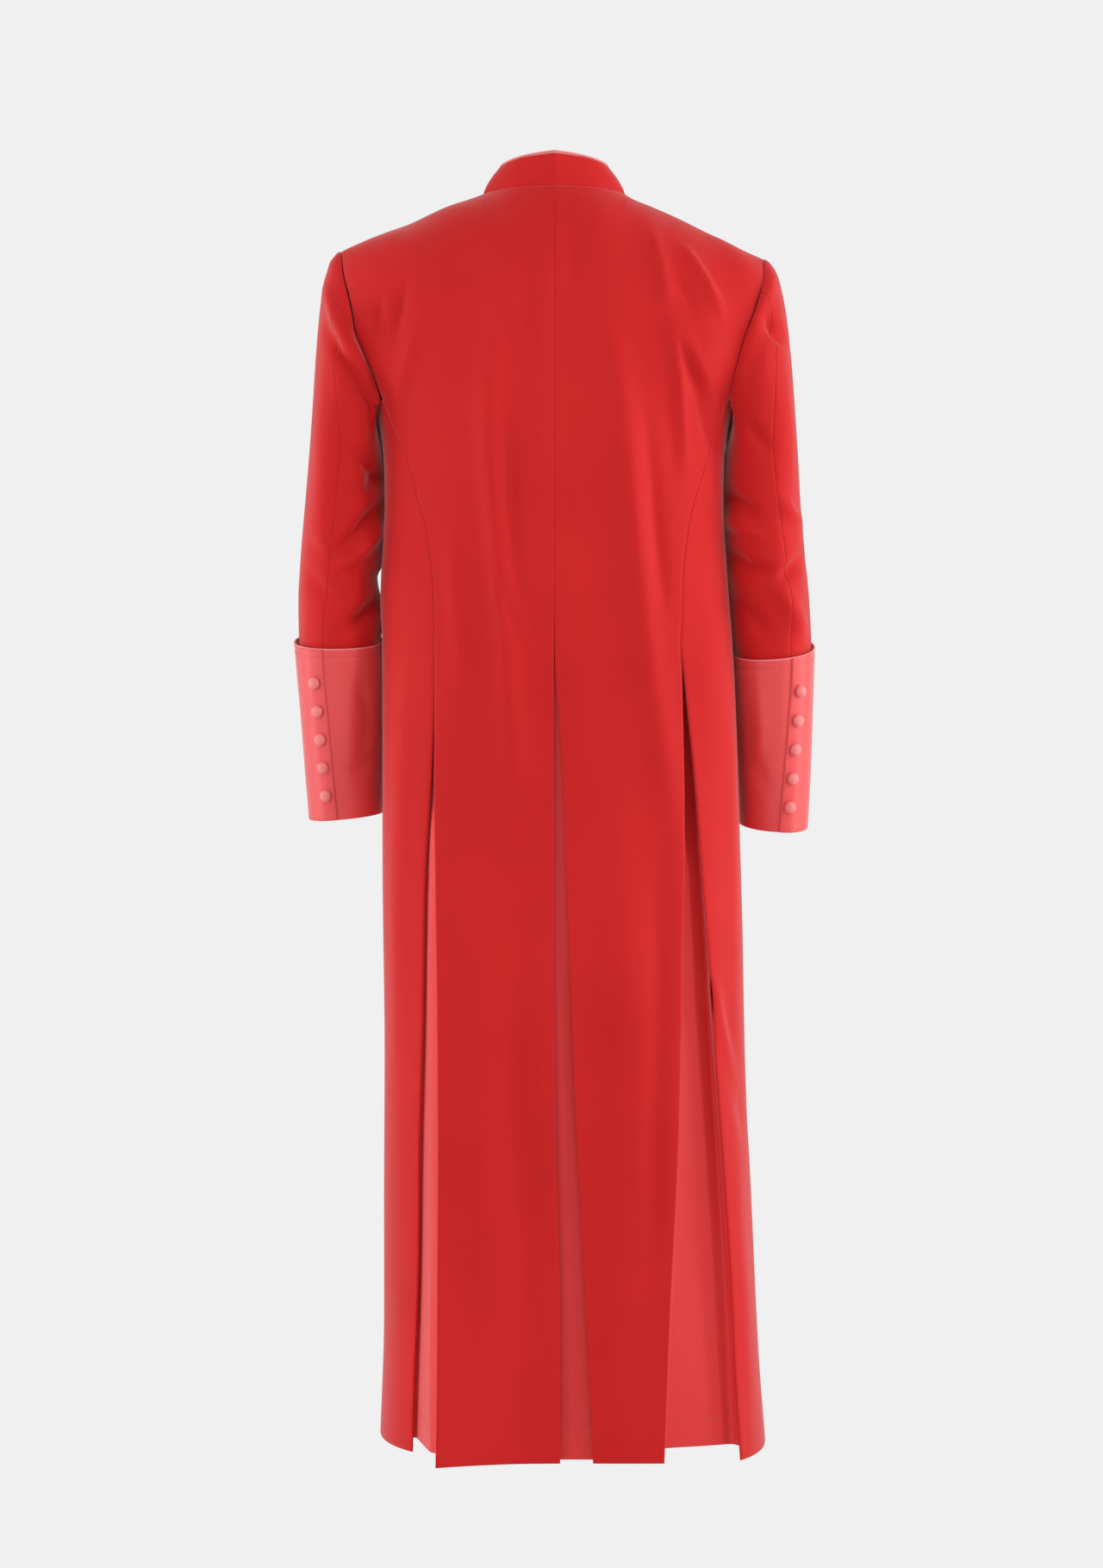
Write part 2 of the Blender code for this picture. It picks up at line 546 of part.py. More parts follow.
def neck_ring(turn):
    """The neck seam, turned in degrees from the centre back; negative towards the wearer's left."""
    side = 1 if turn <= 0 else -1
    x = NECK_HALF * math.sin(math.radians(abs(turn)))
    face = 1 if abs(turn) <= 90 else -1
    down = float(neck_down(face, x))
    return np.array([side * x, float(body_y(face, side, x, down)), -down])


def collar_point(turn, share):
    """A point of the standing collar's outer face, from its seam (0) to its top edge (1)."""
    base = neck_ring(turn)
    around = abs(turn) / 180
    height = curve([(0, 0.0375), (0.5, 0.030), (1, 0.031)], around)
    lean = curve([(0, 0.002), (0.5, 0.0185), (1, 0.006)], around)
    centre = np.array([0, -0.010, base[2]])
    inward = centre - base
    inward /= np.linalg.norm(inward)
    bow = 0.0012 * math.sin(math.pi * share)
    return base + inward * (lean * share**1.15 - bow) + np.array([0, 0, 0.0006 + 0.0016 * around + height * share])


def collar():
    turns = np.linspace(-COLLAR_TURN, COLLAR_TURN, 29)
    return np.array([[collar_point(t, s) for t in turns] for s in (1.0, 0.66, 0.33, 0.0)])


def piping(name):
    """A thin satin roll along the collar's top edge."""
    sides, radius, turns = 6, 0.00135, np.linspace(-COLLAR_TURN, COLLAR_TURN, 29)
    points, faces = [], []
    for turn in turns:
        top, under = collar_point(turn, 1.0), collar_point(turn, 0.8)
        up = (top - under) / np.linalg.norm(top - under)
        ahead = collar_point(min(turn + 1, 180), 1.0) - collar_point(max(turn - 1, -180), 1.0)
        out = np.cross(ahead, up)
        out /= np.linalg.norm(out)
        middle = top + up * (radius + 0.0004) - out * 0.0008 * np.sign(np.dot(out, top - [0, -0.01, top[2]]))
        for k in range(sides):
            a = 2 * math.pi * k / sides
            points.append(middle + radius * (math.cos(a) * up + math.sin(a) * out))
    for i in range(len(turns) - 1):
        for k in range(sides):
            a, b = i * sides + k, i * sides + (k + 1) % sides
            faces.append((a, a + sides, b + sides, b))
    faces.append(tuple(range(sides)))
    faces.append(tuple(reversed(range(len(points) - sides, len(points)))))
    solid(name, points, faces)


def recalculate():
    """Turns every face outward."""
    for obj in bpy.context.scene.collection.objects:
        mesh = bmesh.new()
        mesh.from_mesh(obj.data)
        bmesh.ops.recalc_face_normals(mesh, faces=mesh.faces)
        if mesh.calc_volume(signed=True) < 0:
            bmesh.ops.reverse_faces(mesh, faces=mesh.faces)
        mesh.to_mesh(obj.data)
        mesh.free()


def cloth_pieces():
    """Every cloth piece: its name, outer grid, edge gaps, thickness and the way it faces."""
    pieces = []

    def add(name, grid, gaps, thickness, outward):
        normal, turned = normals_of(grid, np.array(outward, float))
        pieces.append({"name": name, "grid": grid, "gaps": gaps, "thickness": thickness,
                       "normal": normal, "turned": turned})

    for side, word in ((1, "left"), (-1, "right")):
        gaps = (SEAM, 0, SEAM, SEAM)
        add(f"back_{word}", yoked_panel(1, side), gaps, WOOL, (0, 1, 0))
        front = yoked_panel(-1, side, LAP, 0.0 if side > 0 else 0.0034)
        add(f"front_{word}", front, (SEAM, 0, 0, SEAM), WOOL, (0, -1, 0))
        add(f"side_{word}", side_panel(side), gaps, WOOL, (side, 0, 0))
        add(f"pleat_insert_{word}", side_insert(side), (0, 0, 0, 0), SATIN, (0, 1, 0))

        def upper(down, side=side):
            return FORE_SEAM - 360, float(curve(HIND[side], down)), 10

        def under(down, side=side):
            return float(curve(HIND[side], down)), FORE_SEAM, 13

        sleeve_gaps = (0, 0, 0.00025, 0.00025)
        add(f"sleeve_upper_{word}", sleeve(side, upper), sleeve_gaps, WOOL, (side, 0, 0))
        add(f"sleeve_under_{word}", sleeve(side, under), sleeve_gaps, WOOL, (-side, 0, 0))
        add(f"cuff_{word}", cuff(side), (0, 0, 0, 0), SATIN, (-side, -0.5, 0))
    add("pleat_insert_centre", centre_insert(), (0, 0, 0, 0), SATIN, (0, 1, 0))
    add("collar", collar(), (0, 0, 0, 0), WOOL, (0, 1, 0))
    return pieces


def build():
    for obj in list(bpy.data.objects):
        bpy.data.objects.remove(obj, do_unlink=True)
    pieces = cloth_pieces()
    share_seam_normals(pieces)
    for p in pieces:
        shell(p["name"], trim(p["grid"], p["gaps"]), p["normal"], p["turned"], p["thickness"])
    for side, word in ((1, "left"), (-1, "right")):
        for i in range(5):
            button(f"cuff_button_{word}_{i + 1}", side, 0.195 + 0.164 * i)
    piping("collar_piping")
    recalculate()


build()
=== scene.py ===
"""The finish of a long red cassock: wool-blend cloth with folds, satin inserts and cuffs, covered buttons.

Metres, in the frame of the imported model. The front faces -Y, the back +Y and the garment's left +X.
Heights are given as the distance down from the origin, which is the middle of the neck base.
Tables keyed 1 and -1 hold the left and the right side.
"""
import math
from collections import namedtuple

import bmesh
import bpy
import numpy as np
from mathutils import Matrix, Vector


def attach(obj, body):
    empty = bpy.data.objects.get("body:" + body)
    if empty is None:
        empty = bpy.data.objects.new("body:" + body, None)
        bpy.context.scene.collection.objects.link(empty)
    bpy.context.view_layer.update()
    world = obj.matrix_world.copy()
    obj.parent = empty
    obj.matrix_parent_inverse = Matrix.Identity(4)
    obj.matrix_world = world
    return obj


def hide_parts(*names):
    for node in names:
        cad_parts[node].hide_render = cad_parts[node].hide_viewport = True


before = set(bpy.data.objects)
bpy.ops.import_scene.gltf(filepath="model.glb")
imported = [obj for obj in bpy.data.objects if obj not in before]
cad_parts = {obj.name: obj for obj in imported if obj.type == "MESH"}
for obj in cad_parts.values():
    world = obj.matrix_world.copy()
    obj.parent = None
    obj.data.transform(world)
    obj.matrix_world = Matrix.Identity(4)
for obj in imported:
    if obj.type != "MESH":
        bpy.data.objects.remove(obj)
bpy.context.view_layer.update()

# Thickness of the two cloths, the hem, and the height at which the rounding of the shoulders ends.
WOOL, SATIN = 0.0020, 0.0015
HEM = 1.430
SHOULDER_REF = 0.16
SHOULDER_ROUND = {1: 1.8, -1: 1.4}

# Half widths and depths of the body's level sections, as (down, size).
UPPER_WIDTH = [(0, 0.275), (0.066, 0.27), (0.15, 0.262), (0.20, 0.24), (0.25, 0.207), (0.28, 0.2005),
               (0.31, 0.1975), (0.36, 0.1965), (0.392, 0.198)]
WIDTH = {
    1: UPPER_WIDTH + [(0.47, 0.2015), (0.52, 0.1995), (0.75, 0.199), (1.0, 0.1965), (1.3, 0.197),
                      (HEM, 0.201)],
    -1: UPPER_WIDTH + [(0.47, 0.203), (0.52, 0.207), (0.60, 0.211), (0.75, 0.2155), (0.85, 0.218),
                       (1.0, 0.2205), (1.2, 0.229), (1.35, 0.236), (HEM, 0.242)],
}
BACK = [(0, 0.055), (0.07, 0.085), (0.12, 0.102), (0.20, 0.115), (0.30, 0.110), (0.40, 0.096), (0.47, 0.096),
        (0.55, 0.105), (0.65, 0.118), (0.80, 0.130), (1.0, 0.148), (1.2, 0.170), (1.43, 0.1975)]
SIDE_BACK = {
    1: BACK,
    -1: BACK[:7] + [(0.55, 0.106), (0.65, 0.122), (0.80, 0.142), (1.0, 0.170), (1.2, 0.203), (1.43, 0.240)],
}
FRONT = [(0, 0.075), (0.06, 0.088), (0.12, 0.108), (0.20, 0.122), (0.30, 0.132), (0.40, 0.130),
         (0.50, 0.134), (0.65, 0.143), (0.80, 0.150), (1.0, 0.160), (1.43, 0.190)]
# The power of the sections' outline: 2 is an ellipse, and more is squarer.
FRONT_POWER = 2.4
POWER = {1: [(0, 2.4), (0.5, 2.4), (HEM, 2.28)], -1: [(0, 2.4), (0.5, 2.4), (HEM, 3.2)]}
# Below its top the back hangs ever flatter, with the left panel's edge a little further out.
FLAT_TOP, FLAT_RUN, FLAT_LIFT, FLAT_HALF = 0.52, 0.91, 0.0245, 0.129
# The shoulder line as (x, down), and seams and panel edges as (down, x).
SHOULDER = {
    1: [(0, -0.035), (0.04, -0.024), (0.082, -0.002), (0.093, 0.002), (0.122, 0.012), (0.145, 0.022),
        (0.167, 0.032), (0.194, 0.042), (0.219, 0.052), (0.246, 0.064), (0.275, 0.08)],
    -1: [(0, -0.035), (0.04, -0.024), (0.082, -0.002), (0.088, 0.002), (0.112, 0.012), (0.135, 0.022),
         (0.156, 0.032), (0.175, 0.042), (0.196, 0.052), (0.217, 0.062), (0.242, 0.073), (0.275, 0.09)],
}
CENTRE_EDGE = {
    1: [(0, 0), (0.865, 0), (1.066, -0.0019), (1.264, -0.0062), (HEM, -0.0066)],
    -1: [(0, 0), (0.458, 0), (0.5615, 0.0015), (0.587, 0.0035), (0.639, 0.0068), (0.692, 0.0097),
         (0.769, 0.0126), (0.865, 0.0164), (1.067, 0.024), (1.2645, 0.0343), (HEM, 0.0427)],
}
PRINCESS = {
    1: [(0.242, 0.1973), (0.272, 0.1853), (0.3007, 0.172), (0.3287, 0.1619), (0.362, 0.1541),
        (0.3868, 0.1461), (0.482, 0.1361), (0.57, 0.1357)],
    -1: [(0.242, 0.2008), (0.2775, 0.1874), (0.313, 0.1741), (0.343, 0.1651), (0.3737, 0.1561),
         (0.4073, 0.1501), (0.4486, 0.1461), (0.493, 0.145), (0.5264, 0.1439)],
}
BACK_EDGE = {
    1: PRINCESS[1] + [(0.676, 0.1361), (0.79, 0.1336), (0.8655, 0.1323), (1.026, 0.13), (1.184, 0.1291),
                      (HEM, 0.129)],
    -1: PRINCESS[-1] + [(0.56, 0.1457), (0.615, 0.1463), (0.71, 0.1469), (0.7694, 0.1473), (0.866, 0.1448),
                        (1.067, 0.1395), (1.265, 0.1288), (HEM, 0.1213)],
}
SIDE_EDGE = {
    1: PRINCESS[1] + [(0.648, 0.1385), (0.685, 0.1404), (0.79, 0.1455), (0.867, 0.1469), (1.03, 0.1506),
                      (1.193, 0.1541), (1.354, 0.1575), (HEM, 0.1596)],
    -1: PRINCESS[-1] + [(0.54, 0.1458), (0.581, 0.1505), (0.691, 0.1613), (0.77, 0.1664), (0.866, 0.1733),
                        (1.028, 0.1842), (1.149, 0.1927), (1.288, 0.2014), (HEM, 0.2072)],
}
ARMHOLE_BACK = {
    1: [(0.064, 0.246), (0.095, 0.2425), (0.116, 0.2369), (0.146, 0.2302), (0.1746, 0.2252), (0.20, 0.2154),
        (0.2258, 0.2039), (0.242, 0.1973)],
    -1: [(0.073, 0.242), (0.095, 0.241), (0.116, 0.2381), (0.1456, 0.2313), (0.1753, 0.222), (0.20, 0.2145),
         (0.2258, 0.2065), (0.242, 0.2008)],
}
ARMHOLE_FRONT = {
    1: [(0.064, 0.246), (0.10, 0.232), (0.14, 0.212), (0.18, 0.2), (0.22, 0.191), (0.242, 0.1836)],
    -1: [(0.073, 0.242), (0.10, 0.23), (0.14, 0.211), (0.18, 0.2), (0.22, 0.191), (0.242, 0.1836)],
}
FRONT_SEAM_TURN = math.radians(124)
UNDERARM, DIP, DIP_RUN = 0.242, 0.016, 0.10
NECK_HALF, NECK_TOP, NECK_DROP = 0.082, -0.002, 0.058
# The front's lap, how far out it is pressed down onto the other front, and over what width that eases.
LAP, LAP_SUNK, LAP_PRESSED, LAP_EASE = 0.025, 0.0034, 0.055, 0.03


def unit(vectors):
    """The same directions with a length of one."""
    return vectors / np.linalg.norm(vectors, axis=-1, keepdims=True)


def curve(table, at):
    """A smooth value through a table of (position, value) pairs, without overshoot."""
    place, value = np.array(table, float).T
    step = np.diff(place)
    slope = np.diff(value) / step
    lean = np.empty_like(value)
    lean[0], lean[-1] = slope[0], slope[-1]
    before, after = slope[:-1], slope[1:]
    same = before * after > 0
    first, second = 2 * step[1:] + step[:-1], step[1:] + 2 * step[:-1]
    blend = (first + second) / (first / np.where(same, before, 1) + second / np.where(same, after, 1))
    lean[1:-1] = np.where(same, blend, 0)
    at = np.clip(at, place[0], place[-1])
    i = np.clip(np.searchsorted(place, at, side="right") - 1, 0, len(place) - 2)
    t = (at - place[i]) / step[i]
    return ((2 * t**3 - 3 * t**2 + 1) * value[i] + (t**3 - 2 * t**2 + t) * step[i] * lean[i]
            + (3 * t**2 - 2 * t**3) * value[i + 1] + (t**3 - t**2) * step[i] * lean[i + 1])


def body_y(face, side, x, down):
    """Depth of the back (face 1) or front (face -1) surface at a width and a height."""
    x = np.abs(x)
    ref = SHOULDER_REF
    level = np.maximum(down, ref)
    power = curve(POWER[1], level) if face > 0 else FRONT_POWER
    depth = curve(BACK if face > 0 else FRONT, level)
    flat = depth * np.maximum(1 - np.minimum(x / curve(WIDTH[side], level), 1) ** power, 0) ** (1 / power)
    top = curve(SHOULDER[side], x)
    reach = np.clip((down - top) / (ref - top), 0, 1)
    y = flat * (1 - (1 - reach) ** SHOULDER_ROUND[face]) ** (1 / SHOULDER_ROUND[face])
    if face > 0:
        share = np.clip((down - FLAT_TOP) / FLAT_RUN, 0, 1)
        board = depth + (FLAT_LIFT if side > 0 else 0) * (x / FLAT_HALF) ** 2
        y = y + share * (board - y)
    return face * y


def section(side, down, turn):
    """A point of the side body's level section, turned from the centre back (0) towards the front (pi)."""
    width = curve(WIDTH[side], down)
    behind = np.cos(turn) > 0
    depth = np.where(behind, curve(SIDE_BACK[side], down), curve(FRONT, down))
    power = np.where(behind, curve(POWER[side], down), FRONT_POWER)
    reach = (np.abs(np.sin(turn)) ** power + np.abs(np.cos(turn)) ** power) ** (-1 / power)
    return width * reach * np.sin(turn), depth * reach * np.cos(turn)


def inside(side, down, turn, depth):
    """A point that far inside the side body's surface, measured square to it."""
    x, y = section(side, down, turn)
    ahead_x, ahead_y = section(side, down, turn + 0.01)
    along = unit(np.array([ahead_x - x, ahead_y - y]))
    return np.array([x + along[1] * depth, y - along[0] * depth])


def turn_at(side, down, x):
    """The turn of the side body's back half at a given width."""
    width, depth = curve(WIDTH[side], down), curve(SIDE_BACK[side], down)
    power = curve(POWER[side], down)
    share = x / width
    y = depth * (1 - share**power) ** (1 / power)
    return np.arctan2(share, y / depth)


def normals_of(grid, outward):
    """Unit normals of a grid, turned to the given side at its middle."""
    normal = unit(np.cross(np.gradient(grid, axis=0), np.gradient(grid, axis=1)))
    turned = np.dot(normal[len(grid) // 2, grid.shape[1] // 2], outward) < 0
    return -normal if turned else normal


def neck_down(face, x):
    """Height of the neck seam at a width: level behind and dropping towards the centre front."""
    share = np.sqrt(np.maximum(1 - (x / NECK_HALF) ** 2, 0))
    return NECK_TOP - 0.001 * share if face > 0 else NECK_TOP + (NECK_DROP - NECK_TOP) * share


LEVELS = np.linspace(0.25, HEM, 150)
NECK_STEPS, SHOULDER_STEPS, YOKE_STEPS = 16, 26, 46


def yoked_panel(face, side, lap=0.0, drop=0.0):
    """Outer grid of a back or front panel, neck and shoulder to hem and centre edge to side edge."""
    armhole = (ARMHOLE_BACK if face > 0 else ARMHOLE_FRONT)[side]
    junction = armhole[-1][0]
    steps = NECK_STEPS + SHOULDER_STEPS
    neck_x = NECK_HALF * np.sin(np.linspace(0, math.pi / 2, NECK_STEPS + 1))
    shoulder_x = np.linspace(NECK_HALF, armhole[0][1], SHOULDER_STEPS + 1)[1:]
    top_x = np.concatenate([neck_x, shoulder_x])
    top_down = np.concatenate([neck_down(face, neck_x), curve(SHOULDER[side], shoulder_x)])
    even = np.linspace(0, 1, steps + 1)
    levels = np.concatenate([[junction], LEVELS])
    rows_x, rows_down = [], []
    inner = curve(CENTRE_EDGE[side], levels) if face > 0 else np.zeros(len(levels))
    if face > 0:
        outer = curve(BACK_EDGE[side], levels)
    else:
        outer = section(side, levels, FRONT_SEAM_TURN)[0]
    for s in np.linspace(0, 1, YOKE_STEPS + 1)[:-1] ** 1.5:
        edge_down = armhole[0][0] + s * (junction - armhole[0][0])
        edge_x = curve(armhole, edge_down)
        row_x = (1 - s) * top_x + s * (inner[0] + (outer[0] - inner[0]) * even)
        row_down = (1 - s) * top_down + s * junction
        rows_x.append(row_x + even**3 * (edge_x - row_x[-1]))
        rows_down.append(row_down + even**3 * (edge_down - row_down[-1]))
    for i, level in enumerate(levels):
        rows_x.append(inner[i] + (outer[i] - inner[i]) * even)
        rows_down.append(np.full(steps + 1, level))
    x, down = np.array(rows_x), np.array(rows_down)
    y = body_y(face, side, x, down)
    if face < 0 and lap:
        x = np.concatenate([np.full((len(x), 1), -lap), np.zeros((len(x), 1)), x[:, 1:]], axis=1)
        down = np.concatenate([down[:, :1], down], axis=1)
        y = body_y(face, side, x, down)
        y = y + drop * np.clip((LAP_PRESSED - x) / LAP_EASE, 0, 1)
    return np.stack([side * x, y, -down], axis=-1)


def side_panel(side):
    """Outer grid of a side body from the armhole to the hem, back edge to front seam."""
    even = np.linspace(0, 1, 56)
    levels = np.concatenate([[ARMHOLE_BACK[side][-1][0]], LEVELS])
    rows = []
    for i, level in enumerate(levels):
        first = turn_at(side, level, curve(SIDE_EDGE[side], level))
        turn = first + (FRONT_SEAM_TURN - first) * even
        dip = DIP * max(0, 1 - (level - UNDERARM) / DIP_RUN) ** 2
        down = level + dip * np.sin(math.pi * even) ** 2
        x, y = section(side, down, turn)
        rows.append(np.stack([side * x, y, -down], axis=-1))
    return np.array(rows)


def rounded(points, radius, steps):
    """A path through the points, x and y, with its corners rounded."""
    path, most = [points[0]], 0.45
    for before, corner, after in zip(points, points[1:], points[2:]):
        a, b = before - corner, after - corner
        a *= min(radius, most * np.linalg.norm(a)) / np.linalg.norm(a)
        b *= min(radius, most * np.linalg.norm(b)) / np.linalg.norm(b)
        for t in np.linspace(0, 1, steps + 1):
            path.append(corner + (1 - t) ** 2 * a + t**2 * b)
    path.append(points[-1])
    return np.array(path)


def run_along(path):
    """How far along a path each of its points lies."""
    return np.concatenate([[0], np.cumsum(np.linalg.norm(np.diff(path, axis=0), axis=1))])


def evenly(path, count):
    """The same path with its points evenly spaced."""
    run = run_along(path)
    at = np.linspace(0, run[-1], count)
    return np.column_stack([np.interp(at, run, path[:, k]) for k in range(path.shape[1])])


EYE_Y = 3.8
CENTRE_TOP = 0.44
INSERT_TOP = {1: 0.555, -1: 0.515}
INSERT_SHORT = {"side": 0.014, "centre": 0.002}
# How deep an insert's floor lies behind the edge of the back panel and behind that of the side panel: at the
# insert's top, further at the hem, its share of the hollow, and further between the two.
Floor = namedtuple("Floor", "top hem hollow middle")
INSERT_FLOOR = {
    1: (Floor(0.0085, 0.006, 1.0, 0.0), Floor(0.0075, 0.003, 0.3, 0.0)),
    -1: (Floor(0.0085, 0.003, 1.0, 0.0), Floor(0.0085, 0.009, 1.0, 0.080)),
}
INSERT_HOLLOW = {
    1: [(0, 0.0), (0.05, 0.012), (0.13, 0.014), (0.22, 0.002), (1, 0.0)],
    -1: [(0, 0.0), (0.05, 0.015), (0.20, 0.016), (0.30, 0.002), (1, 0.0)],
}


def sight(x, y, floor):
    """Where the line from a viewer behind the garment, past an edge, meets a depth."""
    return x * (EYE_Y - floor) / (EYE_Y - y)


def side_insert(side):
    """Outer grid of the satin between a back panel and a side panel."""
    top = INSERT_TOP[side]
    rows = []
    for down in np.linspace(top, HEM - INSERT_SHORT["side"], 120):
        share = (down - top) / (HEM - top)
        xa, xb = curve(BACK_EDGE[side], down), curve(SIDE_EDGE[side], down)
        ya = body_y(1, side, xa, down)
        hung = WOOL + 0.0007 + 0.0005 * share
        yb = section(side, down, turn_at(side, down, xb))[1]
        hollow = curve(INSERT_HOLLOW[side], share)
        between = share * (1 - share) ** 2
        floor_a, floor_b = (y - at.top - at.hem * share - at.hollow * hollow - at.middle * between
                            for y, at in zip((ya, yb), INSERT_FLOOR[side]))
        if side > 0:
            inner_a = min(sight(xa, ya, floor_a) - 0.001 + 0.008 * min(1, 3 * share), 0.5 * (xa + xb))
            inner_b = xb - 0.002 - 0.002 * share
        else:
            inner_a = sight(xa, ya, floor_a) - 0.001
            inner_b = sight(xb, yb, floor_b) + 0.001 - 0.011 * share
        corners = [(xa - 0.014, body_y(1, side, xa - 0.014, down) - hung),
                   (xa - 0.003, ya - hung), (inner_a, floor_a), (inner_b, floor_b)]
        edge = turn_at(side, down, xb)
        reach = float(np.hypot(*section(side, down, edge)))
        if side > 0:
            for step in (0.004, 0.016):
                corners.append(inside(side, down, edge + step / reach, WOOL + 0.0012))
        else:
            turned_in = SATIN * min(1, 1.6 * share)
            corners.append(inside(side, down, edge + 0.004 / reach, WOOL + 0.0009 + turned_in))
        path = evenly(rounded(np.array(corners), 0.004, 8), 60)
        rows.append(np.column_stack([side * path[:, 0], path[:, 1], np.full(len(path), -down)]))
    return np.array(rows)


def centre_insert():
    """Outer grid of the satin behind the two centre back edges."""
    rows = []
    tucked, near = 0.045, 0.004
    for down in np.linspace(CENTRE_TOP, HEM - INSERT_SHORT["centre"], 120):
        share = (down - CENTRE_TOP) / (HEM - CENTRE_TOP)
        left, right = curve(CENTRE_EDGE[1], down), -curve(CENTRE_EDGE[-1], down)
        across = np.concatenate([np.linspace(left + tucked, left + near, 12),
                                 np.linspace(left + near, right - near, 22)[1:-1],
                                 np.linspace(right - near, right - tucked, 12)])
        depth = np.where(across > 0, body_y(1, 1, across, down), body_y(1, -1, across, down))
        ramp = np.concatenate([np.linspace(0, 1, 12), np.ones(20), np.linspace(1, 0, 12)])
        sunk = WOOL + 0.0014 + (0.001 + 0.007 * share) * ramp
        rows.append(np.column_stack([across, depth - sunk, np.full(len(across), -down)]))
    return np.array(rows)


# The middle of each arm as (down, x, y), and the sizes of the rings about it by height.
ARM = {
    1: [(0.30, 0.2440, -0.014), (0.36, 0.2491, -0.024), (0.42, 0.2537, -0.024), (0.47, 0.2560, -0.027),
        (0.53, 0.2542, -0.032), (0.60, 0.2506, -0.038), (0.67, 0.2478, -0.047), (0.725, 0.2456, -0.057)],
    -1: [(0.30, 0.2425, -0.014), (0.36, 0.2461, -0.024), (0.42, 0.2512, -0.024), (0.47, 0.2555, -0.027),
         (0.53, 0.2577, -0.032), (0.60, 0.2587, -0.038), (0.67, 0.2593, -0.047), (0.74, 0.2591, -0.060)],
}
ARM_WIDE = [(0.30, 0.0405), (0.36, 0.0415), (0.42, 0.0420), (0.47, 0.0425), (0.53, 0.0430), (0.60, 0.040),
            (0.67, 0.0385), (0.74, 0.0365)]
ARM_INNER = {
    1: [(0.30, 0.0044), (0.32, 0.0070), (0.34, 0.0091), (0.36, 0.0110), (0.39, 0.0118), (0.425, 0.0116),
        (0.440, 0.0062), (0.452, 0.0080), (0.465, 0.0110), (0.490, 0.0120), (0.513, 0.0096), (0.60, 0.0068),
        (0.67, 0.0054), (0.74, 0.0050)],
    -1: [(0.30, 0.0028), (0.32, 0.0050), (0.34, 0.0067), (0.36, 0.0081), (0.39, 0.0090), (0.42, 0.0096),
         (0.45, 0.0093), (0.47, 0.0099), (0.50, 0.0094), (0.5225, 0.0050), (0.54, 0.0034), (0.60, 0.0030),
         (0.67, 0.0024), (0.74, 0.0020)],
}
ARM_DEEP = [(0.30, 0.074), (0.36, 0.072), (0.42, 0.068), (0.53, 0.061), (0.60, 0.057), (0.67, 0.054),
            (0.74, 0.052)]
ARM_TILT = {
    1: [(0.30, 0.0), (0.42, 3.0), (0.515, 11.0), (0.63, 8.0), (0.72, 4.8)],
    -1: [(0.30, 0.0), (0.42, 3.0), (0.525, 12.8), (0.63, 11.0), (0.73, 9.0)],
}
# How steeply a ring rises outward, across the arm.
ARM_ROLL = {
    1: [(0.30, 0.0), (0.515, 0.0), (0.72, -0.092)],
    -1: [(0.30, 0.0), (0.42, 0.0), (0.525, 0.085), (0.73, -0.064)],
}
CUFF = {1: (0.515, 0.7186), -1: (0.5247, 0.7292)}
CUFF_WIDE = {1: (0.0488, 0.0425), -1: (0.0470, 0.0395)}
CUFF_INNER = {1: (0.0068, 0.0028), -1: (0.0042, 0.0028)}
CUFF_DEEP = {1: (0.067, 0.0585), -1: (0.066, 0.0565)}
SLEEVE_END = {1: 0.7136, -1: 0.7242}
# The turns, in degrees, over which a cuff laps, where its outer end starts to lift and how fast, how far it
# lifts, and how far the buttons stand from its edge.
CUFF_LAP, LIFT_FROM, LIFT_RUN, LAP_LIFT, BUTTON_TURN = 9, 318, 22, 0.0018, 13
# The turn of the hind arm seam by height, that of the fore one, and the armhole's height by turn.
HIND = {
    1: [(0.0, 48), (0.30, 89), (0.42, 86), (0.53, 76), (0.60, 78), (0.67, 81), (0.74, 84)],
    -1: [(0.0, 50), (0.30, 79), (0.36, 76), (0.42, 70), (0.53, 70), (0.60, 75), (0.67, 82), (0.74, 88)],
}
FORE_SEAM = 245.0
ARMHOLE_AT = {
    1: [(0, 0.064), (40, 0.116), (75, 0.146), (100, 0.1746), (130, 0.2258), (145, 0.242)],
    -1: [(0, 0.073), (40, 0.116), (75, 0.1456), (100, 0.1753), (130, 0.2258), (145, 0.242)],
}
UNDER_FROM, UNDER_TO = 145, 215
CAP_END, CAP_LEAD, SLEEVE_TOP = 0.30, 0.33, 0.306
RING_POWER = 2.2
# The share of a cuff's height at which it is stitched, and the depth and half width of the groove there.
STITCHED_AT, GROOVE, GROOVE_HALF = 0.048, 0.0004, 0.008


def ring(side, down, turn, wide, deep, inner):
    """A point of a ring about the arm, turned from outward (0) through the back (90 degrees).

    inner is how much further the ring reaches towards the body than away from it."""
    reach = (np.abs(np.cos(turn)) ** RING_POWER + np.abs(np.sin(turn)) ** RING_POWER) ** (-1 / RING_POWER)
    wide = wide + np.where(np.cos(turn) < 0, inner, 0)
    out, behind = wide * reach * np.cos(turn), deep * reach * np.sin(turn)
    tilt = np.radians(curve(ARM_TILT[side], down))
    x = curve([(d, c) for d, c, _ in ARM[side]], down) + out
    y = curve([(d, c) for d, _, c in ARM[side]], down) + behind * np.cos(tilt)
    z = out * curve(ARM_ROLL[side], down) - down - behind * np.sin(tilt)
    return np.stack([x, y, z], axis=-1)


def arm_size(side, down):
    """Half widths of a sleeve's ring outward and behind, and its further reach towards the body."""
    return curve(ARM_WIDE, down), curve(ARM_DEEP, down), curve(ARM_INNER[side], down)


def cuff_at(table, side, share):
    """A cuff's height or size at a share of its height, from its top edge (0) to its lower edge (1)."""
    top, low = table[side]
    return top + share * (low - top)


